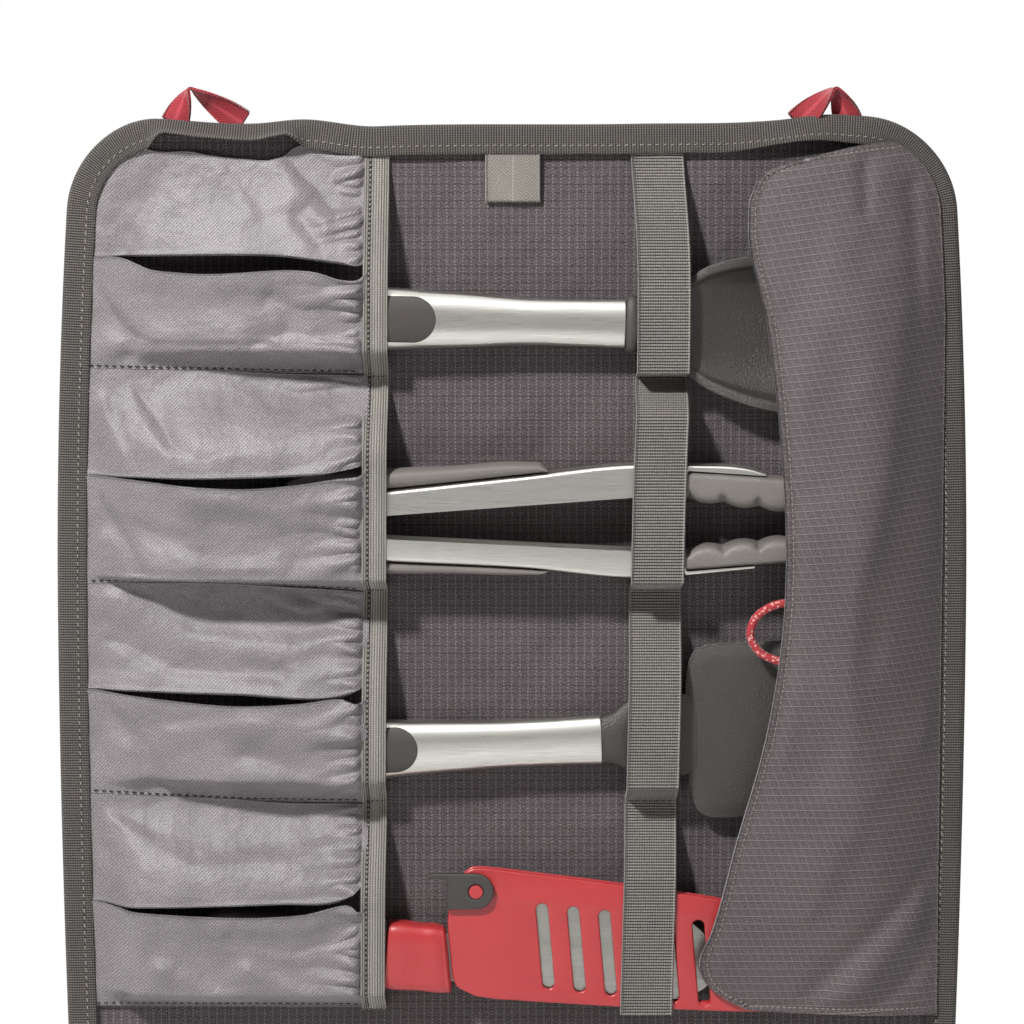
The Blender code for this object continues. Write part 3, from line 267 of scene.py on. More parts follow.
def corner_values(grid: Array) -> Array:
    """Values of a grid of points given to the corners of its quads, in the order of grid_faces."""
    corners = [grid[:-1, :-1], grid[:-1, 1:], grid[1:, 1:], grid[1:, :-1]]
    return np.stack(corners, 2).reshape(-1, grid.shape[-1])


def solid(name: str, rings: Array) -> Obj:
    """A solid whose skin runs through rings of points, capped at both ends.

    Its UV map holds the length run along the rings' middles and the mean length run round them.

    Args:
        name: the piece's name.
        rings: n rings of m points, as n by m by 3.

    Returns:
        The object.
    """
    count, sides = rings.shape[:2]
    loop = np.concatenate([rings, rings[:, :1]], 1)
    around = np.mean([arc_length(loop[k]) for k in range(0, len(loop), max(1, len(loop) // 8))], 0)
    ring_uv = pairs(arc_length(loop.mean(1)), around)
    faces = grid_faces(count, sides, (False, True)).tolist()
    faces += [list(range(sides))[::-1], list(range((count - 1) * sides, count * sides))]
    caps = [np.repeat(ring_uv[end, :1], sides, 0) for end in (0, -1)]
    return add_mesh(name, rings.reshape(-1, 3), faces, np.concatenate([corner_values(ring_uv), *caps]))


def cloth(name: str, middle: Array, thickness: Array | float, uv: Array | None = None, ring: bool = False) -> Obj:
    """A closed sheet of cloth about a middle surface, with round edges.

    Each point goes half a thickness along the surface's normal to both sides. Along the rim a third line of
    points stands half a thickness outwards, which rounds the edge.

    Args:
        name: the piece's name.
        middle: the middle surface, rows by columns by 3.
        thickness: one value, or one for each point.
        uv: UV pairs of the points, in metres; x and z are used if None.
        ring: whether the last row joins the first.

    Returns:
        The object.
    """
    rows, columns = middle.shape[:2]
    source = np.concatenate([middle[-1:], middle, middle[:1]], 0) if ring else middle
    down = np.gradient(source, axis=0)[1:-1] if ring else np.gradient(source, axis=0)
    normal = unit(np.cross(np.gradient(middle, axis=1), down))
    half = np.broadcast_to(np.asarray(thickness, float) / 2, (rows, columns))[..., None]
    near = (middle + normal * half).reshape(-1, 3)
    far = (middle - normal * half).reshape(-1, 3)
    index = np.arange(rows * columns).reshape(rows, columns)
    if ring:
        borders = [(index[:, 0], index[:, 1]), (index[:, -1][::-1], index[:, -2][::-1])]
    else:
        loop = np.concatenate([index[0, :-1], index[:-1, -1], index[-1, :0:-1], index[:0:-1, 0]])
        inner = np.concatenate([index[1, :-1], index[:-1, -2], index[-2, :0:-1], index[:0:-1, 1]])
        borders = [(loop, inner)]
    flat = middle.reshape(-1, 3)
    size = len(flat)
    if uv is None:
        uv = middle[..., [0, 2]]
    flat_uv = uv[:rows, :columns].reshape(-1, 2)
    face = grid_faces(rows, columns, (ring, False))
    face_uv = corner_values(uv) if ring else flat_uv[face.ravel()]
    points, faces, values = [near, far], [face, face[:, ::-1] + size], [face_uv, face_uv.reshape(-1, 4, 2)[:, ::-1]]
    start = 2 * size
    for loop, inner in borders:
        out = unit(flat[loop] - flat[inner]) * half.reshape(-1, 1)[loop]
        points.append(flat[loop] + out)
        here, there = np.arange(len(loop)), (np.arange(len(loop)) + 1) % len(loop)
        rim_uv = flat_uv[loop]
        for a, b in ((loop, start + here), (start + here, loop + size)):
            faces.append(np.stack([a, b, b[there], a[there]], 1)[:, ::-1])
            values.append(np.stack([rim_uv, rim_uv, rim_uv[there], rim_uv[there]], 1)[:, ::-1])
        start += len(loop)
    corner = np.concatenate([value.reshape(-1, 2) for value in values])
    return add_mesh(name, np.concatenate(points), np.concatenate(faces).tolist(), corner)


def sweep(name: str, path: Array, section: Array, across: Array) -> Obj:
    """A section carried along a path.

    A point of the section at (a, b) goes to the path's point plus a times the across direction plus b times
    the direction square to both it and the run.

    Args:
        name: the piece's name.
        path: n points.
        section: m points as (a, b), or n by m by 2 where it changes.
        across: a direction for the whole path, or one for each of its points.

    Returns:
        The object.
    """
    run = unit(np.gradient(path, axis=0))
    across = np.broadcast_to(across, path.shape)
    across = unit(across - run * np.sum(across * run, 1, keepdims=True))
    other = np.cross(run, across)
    section = np.broadcast_to(section, (len(path), *section.shape[-2:]))
    rings = path[:, None] + across[:, None] * section[..., :1] + other[:, None] * section[..., 1:]
    return solid(name, rings)


def capsule(steps: int, sides: int) -> tuple[Array, list]:
    """The shape of one thread stitch: a small arch with pointed ends.

    Its x runs from -1 to 1, its height is 1 minus x squared, and its radius is the root of that.

    Args:
        steps: rings between the two ends.
        sides: points of each ring.

    Returns:
        Points as (x, side, height above the arch's foot) and the faces.
    """
    x = -np.cos(np.linspace(0, math.pi, steps + 2))[1:-1]
    radius = np.sqrt(1 - x**2)
    cos, sin = circle(sides)
    rings = np.stack([np.repeat(x, sides), np.outer(radius, cos).ravel(), np.outer(radius, sin).ravel()], 1)
    points = np.concatenate([rings, [[-1, 0, 0], [1, 0, 0]]])
    faces = grid_faces(steps, sides, (False, True)).tolist()
    count = steps * sides
    for k in range(sides):
        faces.append([count, (k + 1) % sides, k])
        faces.append([count + 1, count - sides + k, count - sides + (k + 1) % sides])
    return points, faces


@dataclass(frozen=True)
class Stitch:
    """A row of thread stitches: the thread's thickness, each stitch's length, their spacing and their lean."""

    thread: float = 0.00042
    length: float = 0.0022
    pitch: float = 0.0031
    lean: float = 0.0
    proud: float = 0.15

    def spread(self, name: str, path: Array, outward: Array, at: Array, shape: Array, faces: list) -> Obj:
        """Repeats one small shape along a path.

        Args:
            name: the piece's name.
            path: points on the cloth's surface.
            outward: the direction out of the cloth, one or one for each point.
            at: the distances along the path at which the shape stands.
            shape: the shape's points as distances along the path, across it and out of the cloth.
            faces: the shape's faces.

        Returns:
            One object with every copy.
        """
        run = arc_length(path)
        outward = np.broadcast_to(outward, path.shape)

        def sample(values: Array, places: Array) -> Array:
            """The values at distances along the path."""
            return np.stack([np.interp(places, run, values[:, k]) for k in range(3)], 1)

        up = unit(sample(outward, at))
        tangent = unit(sample(path, at + self.pitch / 3) - sample(path, at - self.pitch / 3))
        side = unit(np.cross(up, tangent))
        axes = np.stack([np.cross(side, up), side, up], 1)
        points = sample(path, at)[:, None] + np.einsum("sk,nkc->nsc", shape, axes)
        every = [[v + n * len(shape) for v in face] for n in range(len(at)) for face in faces]
        return add_mesh(name, points.reshape(-1, 3), every)

    def run(self, name: str, path: Array, body: str = "root", outward: Array = TO_FRONT) -> None:
        """Sews a dark row along a path and dresses it."""
        dress(self.sew(name, path, outward), DARK_THREAD_AND_HOLE_SHADE, body)

    def sew(self, name: str, path: Array, outward: Array = TO_FRONT) -> Obj:
        """Sews the row along a path: each stitch is a small arch that leans a little across the path.

        Args:
            name: the row's name.
            path: points on the cloth's surface.
            outward: the direction out of the cloth, one or one for each point.

        Returns:
            One object with every stitch.
        """
        at = np.arange(self.pitch / 2, arc_length(path)[-1] - self.pitch / 4, self.pitch)
        shape, faces = capsule(5, 5)
        half, radius = self.length / 2, self.thread / 2
        height = radius * (self.proud + shape[:, 2] + 0.6 * (1 - shape[:, 0] ** 2))
        cos, sin = math.cos(self.lean), math.sin(self.lean)
        ahead, aside = shape[:, 0] * half, shape[:, 1] * radius
        turned = np.stack([ahead * cos - aside * sin, ahead * sin + aside * cos, height], 1)
        return self.spread(name, path, outward, at, turned, faces)

    def punch(self, name: str, path: Array, outward: Array = TO_FRONT) -> Obj:
        """The needle holes between the stitches: flat lenses in the cloth's surface that are dressed dark as painted
        shade in the holes.

        Args:
            name: the row's name.
            path: points on the cloth's surface.
            outward: the direction out of the cloth, one or one for each point.

        Returns:
            One object with every hole.
        """
        at = np.arange(self.pitch, arc_length(path)[-1] - self.pitch / 4, self.pitch)
        cos, sin = circle(8)
        radius = 0.55 * self.thread
        rim = np.stack([1.3 * radius * cos, radius * sin, 0 * cos], 1)
        shape = np.concatenate([rim, [[0, 0, 0.00005], [0, 0, -0.00010]]])
        faces = [[k, (k + 1) % 8, 8] for k in range(8)] + [[(k + 1) % 8, k, 9] for k in range(8)]
        return self.spread(name, path, outward, at, shape, faces)


@dataclass(frozen=True)
class Graph:
    """A node tree, with short ways to its common nodes; each gives the new node's output."""

    tree: bpy.types.NodeTree

    def add(self, kind: str, inputs: dict | None = None, output: int | str = 0, **settings: object) -> Socket:
        """Adds a shader node with its settings and links.

        Args:
            kind: the node's type without its first word, ShaderNode.
            inputs: for a socket's name or number, a value or another node's output.
            output: the name or number of the output that is wanted.
            settings: the node's own properties.

        Returns:
            The output.
        """
        node = self.tree.nodes.new(f"ShaderNode{kind}")
        for key, value in settings.items():
            setattr(node, key, value)
        self.fill(node, inputs or {})
        return node.outputs[output]

    def fill(self, node: bpy.types.Node, inputs: dict) -> None:
        """Fills a node's inputs with values or links.

        Args:
            node: the node.
            inputs: for a socket's name or number, a value or another node's output.
        """
        for key, value in inputs.items():
            if isinstance(value, Socket):
                self.tree.links.new(value, node.inputs[key])
            else:
                node.inputs[key].default_value = value

    def math(self, operation: str, *values: Socket | float) -> Socket:
        """One operation on numbers."""
        return self.add("Math", dict(enumerate(values)), operation=operation)

    def spread(self, value: Socket, start: float, end: float, low: float, high: float) -> Socket:
        """A value mapped from start and end to low and high, and held between them."""
        return self.add("MapRange", dict(enumerate((value, start, end, low, high))))

    def noise(self, place: Socket, scale: float, detail: float, rough: float = 0.5) -> Socket:
        """Fractal noise from 0 to 1."""
        return self.add("TexNoise", {"Vector": place, "Scale": scale, "Detail": detail, "Roughness": rough})

    def mix(self, factor: Socket, first: Socket | tuple, second: Socket | tuple) -> Socket:
        """A colour between two."""
        return self.add("Mix", {0: factor, 6: first, 7: second}, 2, data_type="RGBA")

    def bump(self, height: Socket, relief: float, **inputs: Socket | float) -> Socket:
        """A normal from a height, its relief in millimetres."""
        return self.add("Bump", {"Height": height, "Distance": relief * MM, **inputs})

    def stripe(self, value: Socket, pitch: float, width: float, gain: float = 1.0) -> Socket:
        """Stripes across a coordinate in millimetres, falling from the gain in their middle to 0 at their edge."""
        return self.spread(self.math("PINGPONG", value, pitch / 2), 0.0, width, gain, 0.0)


class Weave(Enum):
    """How a cloth or tape is woven."""

    RIPSTOP = "dark rows and dashed pale columns"
    LINED = "pale rows on a speckled ground"
    SATIN = "fine diagonal crosshatch"
    CROSS_RIB = "ribs across the tape"
    LONG_RIB = "ribs along the tape"
    HERRINGBONE = "slanting threads that turn at a spine"
    BRAID = "crossed strands with pale flecks"


@dataclass(frozen=True)
class Finish:
    """A surface finish: its name, the record's slot, its colour as sRGB hex and its roughness."""

    name: str
    slot: str
    colour: str
    roughness: float

    def material(self) -> bpy.types.Material:
        """The Blender material of this finish, made the first time it is asked for.

        Returns:
            The material.
        """
        if self.name in bpy.data.materials:
            return bpy.data.materials[self.name]
        made = bpy.data.materials.new(self.name)
        made.use_nodes = True
        graph = Graph(made.node_tree)
        graph.fill(made.node_tree.nodes["Principled BSDF"], {"Roughness": self.roughness, **self.wire(graph)})
        return made

    def wire(self, graph: Graph) -> dict:
        """Builds the finish's patterns and gives the shader's inputs; each kind of finish has its own."""
        raise NotImplementedError


@dataclass(frozen=True)
class Woven(Finish):
    """Woven cloth, tape or cord, whose threads follow the piece's own UV map in metres.

    The pitch is the spacing of the pattern along U and V in millimetres and the relief its height. The shade
    and light are the colours between the threads and on the accent threads. The grit is the speckle's
    strength and the thread its grain. Creases as wide as worn have the height of crease, and the selvage is
    where a pale edge starts, from the middle of a tape; all are in millimetres.
    """

    weave: Weave
    shade: str
    light: str
    pitch: tuple[float, float]
    relief: float = 0.10
    sheen: float = 0.15
    grit: float = 0.55
    thread: float = 0.55
    mottle: float = 0.25
    worn: float = 30.0
    crease: float = 0.0
    selvage: float = 0.0

    def wire(self, graph: Graph) -> dict:
        """Speckle, patches, the weave's dark lines and its pale accents give colour and relief.

        Args:
            graph: the material's nodes.

        Returns:
            For each of the shader's inputs, a value or another node's output.
        """
        uv = graph.add("UVMap", uv_map="cloth")
        place = graph.add("Mapping", {"Vector": uv, "Scale": (1 / MM,) * 3})
        axes = graph.add("SeparateXYZ", {"Vector": place}).node.outputs
        line, accent = self.pattern(graph, place, axes["X"], axes["Y"])
        grain = graph.noise(place, 1 / self.thread, 2.0, 0.7)
        patches = graph.noise(place, 1 / self.worn, 3.0)
        colour, shade, light = linear(self.colour), linear(self.shade), linear(self.light)
        colour = graph.mix(graph.spread(grain, 0.40, 0.62, 0.0, self.grit), colour, shade)
        colour = graph.mix(graph.spread(patches, 0.35, 0.70, 0.0, self.mottle), colour, shade)
        colour = graph.mix(accent, graph.mix(line, colour, shade), light)
        if self.selvage:
            side = graph.math("ABSOLUTE", axes["Y"])
            colour = graph.mix(graph.spread(side, self.selvage, self.selvage + 0.25, 0.0, 0.25), colour, light)
        height = graph.math("MULTIPLY_ADD", grain, -self.grit, graph.math("SUBTRACT", accent, line))
        creases = graph.bump(patches, self.crease)
        normal = graph.bump(height, self.relief, Normal=creases)
        return {"Base Color": colour, "Normal": normal, "Sheen Weight": self.sheen, "Sheen Roughness": 0.4}

    def pattern(self, graph: Graph, place: Socket, u: Socket, v: Socket) -> tuple[Socket, Socket]:
        """Builds the weave's dark lines and pale accents.

        Args:
            graph: the material's nodes.
            place: the position on the cloth in millimetres.
            u: its first coordinate.
            v: its second coordinate.

        Returns:
            Two sockets from 0 to 1: the dark lines and the accents.
        """
        wide, tall = self.pitch
        math_of, stripe = graph.math, graph.stripe
        if self.weave is Weave.RIPSTOP:
            rows = stripe(v, tall, 0.11 * tall, 0.8)
            twill = stripe(math_of("ADD", u, v), 0.95, 0.45, 0.45)
            columns = stripe(u, wide, 0.14 * wide, 0.5)
            dots = stripe(v, 0.42 * tall, 0.15 * tall)
            return math_of("MAXIMUM", rows, twill), math_of("MULTIPLY", columns, dots)
        if self.weave is Weave.LINED:
            under = stripe(math_of("ADD", v, 0.45), tall, 0.09 * tall, 0.75)
            twill = stripe(math_of("SUBTRACT", u, v), 0.85, 0.40, 0.35)
            rows = stripe(v, tall, 0.07 * tall, 0.42)
            columns = stripe(math_of("ADD", u, math_of("MULTIPLY", v, 0.35)), wide, 0.08 * wide, 0.18)
            return math_of("MAXIMUM", under, twill), math_of("MAXIMUM", rows, columns)
        if self.weave is Weave.SATIN:
            rising = stripe(math_of("ADD", u, v), wide, 0.5 * wide)
            falling = stripe(math_of("SUBTRACT", u, v), tall, 0.5 * tall)
            dark = math_of("MULTIPLY", rising, falling)
            return dark, math_of("MULTIPLY", math_of("SUBTRACT", rising, dark), 0.35)
        if self.weave is Weave.CROSS_RIB:
            ribs = math_of("MINIMUM", stripe(u, wide, 0.40 * wide, 1.4), 1.0)
            dots = stripe(v, tall, 0.40 * tall, 0.45)
            return ribs, math_of("MULTIPLY", dots, math_of("SUBTRACT", 1.0, ribs))
        if self.weave is Weave.LONG_RIB:
            ribs = stripe(v, tall, 0.34 * tall)
            cross = stripe(u, wide, 0.35 * wide, 0.5)
            return math_of("MAXIMUM", ribs, cross), math_of("MULTIPLY", math_of("SUBTRACT", 1.0, ribs), 0.15)
        zigzag = math_of("PINGPONG", v, tall)
        dark = stripe(math_of("ADD", zigzag, u), wide, 0.42 * wide, 0.75)
        if self.weave is Weave.HERRINGBONE:
            return dark, stripe(v, 2 * tall, 0.05 * tall, 0.4)
        flecks = graph.add("TexVoronoi", {"Vector": place, "Scale": 0.55, "Randomness": 0.9}, "Distance")
        return dark, graph.spread(flecks, 0.46, 0.26, 0.0, 0.8)


@dataclass(frozen=True)
class Moulded(Finish):
    """A moulded plastic or rubber with spark-eroded grain; grain and relief are in millimetres."""

    shade: str
    grain: float = 0.8
    relief: float = 0.05
    coat: float = 0.0
    mottle: float = 0.35

    def wire(self, graph: Graph) -> dict:
        """Grain gives relief and changes the gloss a little; wide mottling stands for handling marks.

        Args:
            graph: the material's nodes.

        Returns:
            For each of the shader's inputs, a value or another node's output.
        """
        place = graph.add("TexCoord", output="Object")
        grain = graph.noise(place, 1 / (self.grain * MM), 3.0, 0.6)
        marks = graph.spread(graph.noise(place, 45.0, 4.0), 0.35, 0.7, 0.0, self.mottle)
        return {
            "Base Color": graph.mix(marks, linear(self.colour), linear(self.shade)),
            "Roughness": graph.spread(grain, 0.3, 0.7, self.roughness - 0.06, self.roughness + 0.08),
            "Normal": graph.bump(grain, self.relief, Strength=0.7),
            "Coat Weight": self.coat,
            "Coat Roughness": 0.18,
        }


@dataclass(frozen=True)
class Steel(Finish):
    """Stainless steel, brushed or ground along X; the line spacing is in millimetres."""

    shade: str
    line: float = 0.45
    relief: float = 0.012

    def wire(self, graph: Graph) -> dict:
        """Noise stretched along the handle gives the brush lines; wide noise changes the gloss.

        Args:
            graph: the material's nodes.

        Returns:
            For each of the shader's inputs, a value or another node's output.
        """
        across = 1 / (self.line * MM)
        place = graph.add("TexCoord", output="Object")
        lines = graph.noise(graph.add("Mapping", {"Vector": place, "Scale": (across / 40, across, across)}), 1.0, 4.0)
        return {
            "Base Color": graph.mix(lines, linear(self.colour), linear(self.shade)),
            "Roughness": graph.spread(lines, 0.3, 0.7, self.roughness - 0.05, self.roughness + 0.10),
            "Normal": graph.bump(lines, self.relief, Strength=0.8),
            "Metallic": 1.0,
            "Anisotropic": 0.4,
        }


# Nylon cloths: the panel's ripstop has dark rows and columns of pale dots, the flap's has pale rows, and the
# pockets' satin weave shows as a fine crosshatch. Their threads are drawn about 1 mm apart, coarser than the
# real 0.3 mm, so that they show.
PANEL_CLOTH = Woven("woven_ripstop_nylon", "ripstop", "#746A6C", 0.85, Weave.RIPSTOP, "#110D0E", "#AFA4A6",
                    (3.8, 3.8), relief=0.22, grit=1.00, thread=0.6, mottle=0.15, worn=42.0, crease=6.0)
FLAP_CLOTH = Woven("flap_ripstop_nylon", "flap_ripstop", "#716668", 0.72, Weave.LINED, "#1B1617", "#A99EA1",
                   (3.8, 3.65), relief=0.16, grit=1.00, thread=0.5, mottle=0.15, worn=55.0, crease=5.0)
SATIN = Woven("satin_weave_nylon", "pocket_satin", "#8F888A", 0.52, Weave.SATIN, "#322D2F", "#B9B3B5",
              (1.7, 1.7), relief=0.10, sheen=0.20, grit=0.60, thread=0.8, mottle=0.30, worn=22.0, crease=3.5)
# Tapes and webbing of spun polyester: ribs cross them, and the stretched elastic has ribs along it. The ribs
# of the strap are drawn 1.4 mm apart, a little coarser than the real 1.0 mm.
BINDING_TAPE = Woven("binding_tape", "edge_tape", "#5F5954", 0.9, Weave.CROSS_RIB, "#191615", "#8C857E",
                     (1.2, 1.1), relief=0.12, grit=0.65)
ELASTIC = Woven("ribbed_elastic_weave", "ribbed_elastic", "#A39E96", 0.9, Weave.LONG_RIB, "#26231F", "#BFBAB2",
                (1.1, 1.3), relief=0.12)
WEBBING = Woven("ribbed_webbing_weave", "ribbed_webbing", "#8A847E", 0.85, Weave.CROSS_RIB, "#0E0C0B", "#B5AFA8",
                (1.4, 1.2), relief=0.15, grit=0.70, selvage=11.5)
TAB_TAPE = Woven("herringbone_tape_weave", "herringbone_tape", "#9C9790", 0.9, Weave.HERRINGBONE, "#4A453F",
                 "#BDB8B0", (1.5, 6.2), relief=0.12)
RED_TAPE = Woven("red_webbing_weave", "red_webbing", "#B02B35", 0.8, Weave.HERRINGBONE, "#56101A", "#C9505A",
                 (1.6, 30.0))
RED_CORD = Woven("braided_red_cord", "red_cord", "#BC3A40", 0.8, Weave.BRAID, "#8A1E26", "#E3A9A0", (1.5, 1.5),
                 relief=0.25)
THREAD = Moulded("grey_sewing_thread", "edge_tape", "#8F8981", 0.8, "#5E5850", grain=0.4)
# Dark thread for the dark stitches; the same material is also the painted shade inside the needle holes.
DARK_THREAD_AND_HOLE_SHADE = Moulded("dark_thread_and_hole_shade", "ripstop", "#1C1918", 0.85, "#100E0E", grain=0.4)
# Stainless steel, brushed along the handles, which draws long soft highlights
BRUSHED = Steel("brushed_stainless", "brushed_steel", "#DCDAD4", 0.30, "#B2B0A9")
GROUND = Steel("ground_stainless", "blade_steel", "#A8A6A0", 0.32, "#8B8984", line=0.3)
# Glass-filled nylon heads with fine eroded grain, and soft moulded rubber that looks chalkier
NYLON = Moulded("grained_nylon", "dark_nylon", "#36322F", 0.37, "#2A2725", grain=0.8, relief=0.70)
GREY_NYLON = Moulded("grained_grey_nylon", "dark_nylon", "#726D69", 0.38, "#5A5551", grain=0.8, relief=0.60)
RUBBER = Moulded("soft_moulded_rubber", "soft_rubber", "#3A3532", 0.60, "#2F2B29", grain=0.6, relief=0.03)
GREY_RUBBER = Moulded("soft_grey_rubber", "soft_rubber", "#6D6763", 0.62, "#5B5652", grain=0.6, relief=0.03)
RED_PLASTIC = Moulded("satin_red_polypropylene", "red_plastic", "#AC2D30", 0.36, "#9A272A", grain=1.2,
                      relief=0.02, coat=0.25)
ACETAL = Moulded("satin_black_acetal", "black_acetal", "#26262A", 0.42, "#1C1C20", grain=1.0)


def dress(obj: Obj, finish: Finish, body: str, *nodes: str) -> Obj:
    """Gives a new piece its finish and its body, and hides the CAD nodes that it stands for.

    Args:
        obj: the piece, in its place.
        finish: its finish.
        body: the CAD body that it rides on.
        nodes: the CAD nodes that it replaces.

    Returns:
        The piece.
    """
    coat(obj, finish)
    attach(obj, body)
    if nodes:
        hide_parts(*nodes)
    LOG.info("%s: %d faces on %s", obj.name, len(obj.data.polygons), body)
    return obj


def coat(obj: Obj, finish: Finish) -> None:
    """Gives a piece its material."""
    obj.data.materials.append(finish.material())


def redress(node: str, finish: Finish) -> None:
    """Gives a CAD node that stays its finish.

    Args:
        node: the node's name.
        finish: its finish.
    """
    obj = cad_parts[node]
    obj.data.materials.clear()
    coat(obj, finish)
    LOG.info("%s keeps its CAD shape", node)


@dataclass(frozen=True)
class Layout:
    """The roll's outline and the lines that several pieces share."""

    width: float = 0.427
    top: float = -0.0155
    height: float = 0.474
    corner: float = 0.042
    top_draw: float = 0.045
    bottom_draw: float = 0.018
    binding: float = 0.013
    tape: float = 0.0010
    elastic_x: Points = ((-0.030, -0.0627), (-0.435, -0.0656))
    elastic_width: float = 0.012
    top_wave: Points = ((-0.200, 0), (-0.1716, 0), (-0.118, -0.0024), (-0.098, -0.0006), (-0.065, -0.0038),
                        (-0.053, -0.0034), (0.057, -0.0026), (0.1245, -0.0008), (0.145, 0.0016), (0.168, 0.0008),
                        (0.200, 0))
    seams: tuple[Points, ...] = (
        ((-0.200, -0.0295), (-0.060, -0.0295)),
        ((-0.1993, -0.1300), (-0.130, -0.1318), (-0.0696, -0.1330)),
        ((-0.2013, -0.2312), (-0.1231, -0.2322), (-0.0710, -0.2352)),
        ((-0.1979, -0.3310), (-0.1231, -0.3350), (-0.0719, -0.3358)),
        ((-0.1990, -0.4335), (-0.0700, -0.4340)),
    )

    def draw_in(self, z: Array) -> Array:
        """The half width at a height as a share of the widest: it falls with the square of the distance."""
        away = (z - (self.top - self.height / 2)) / (self.height / 2)
        return 1 - np.where(away > 0, self.top_draw, self.bottom_draw) * away**2

    def side_x(self, z: Array, inset: float) -> Array:
        """The outline's distance from the middle, moved in by an inset; round corners are quarter circles.

        Args:
            z: the heights.
            inset: how far inside the outline.

        Returns:
            The distances.
        """
        radius = self.corner - inset
        past = np.maximum(z - (self.top - self.corner), (self.top - self.height + self.corner) - z)
        bow = np.sqrt(np.clip(radius**2 - np.clip(past, 0, radius) ** 2, 0, None))
        return (self.width / 2 - self.corner + bow) * self.draw_in(z)

    def rim(self, inset: float, count: int) -> Array:
        """Points round the outline: straight sides and quarter circles, then drawn in and waved.

        Args:
            inset: how far inside the outline.
            count: how many points, at equal distances.

        Returns:
            Points of x and z, anticlockwise, the last one not repeating the first.
        """
        half, radius = self.width / 2 - inset, self.corner - inset
        high, low = self.top - inset, self.top - self.height + inset
        turn = np.linspace(0, math.pi / 2, 24)
        corners = []
        for k, (cx, cz) in enumerate(((half - radius, high - radius), (radius - half, high - radius),
                                      (radius - half, low + radius), (half - radius, low + radius))):
            angle = turn + k * math.pi / 2
            corners.append(np.stack([cx + radius * np.cos(angle), cz + radius * np.sin(angle)], 1))
        loop = space_loop(np.concatenate(corners), count)
        loop[:, 0] *= self.draw_in(loop[:, 1])
        loop[:, 1] += self.wave(loop[:, 0], loop[:, 1])
        return loop

    def wave(self, x: Array, z: Array) -> Array:
        """How far the top edge sags between the hang loops; it dies away 35 mm below the edge."""
        return along(self.top_wave, x) * smooth_step(1 - (self.top - z) / 0.035)

    def seam(self, row: int, x: Array) -> Array:
        """The height of the stitched line above a row of pockets; row 4 is the bottom one."""
        return along(self.seams[row], x)


LAYOUT = Layout()


@dataclass(frozen=True)
class Row:
    """One row of pockets: what passes under its elastic, its two hems, and the folds of its two cloths.

    Low and high are the heights between which the cloth lies over the tool, deep is the tool's front, and
    full is where the cloth is first at full depth. A fold is its route, its height and its half widths on the
    route's left and right.
    """

    low: float
    high: float
    deep: float
    full: float
    hem: Points
    mouth: Points
    cover_folds: tuple[tuple[Points, float, float, float], ...]
    pocket_folds: tuple[tuple[Points, float, float, float], ...]


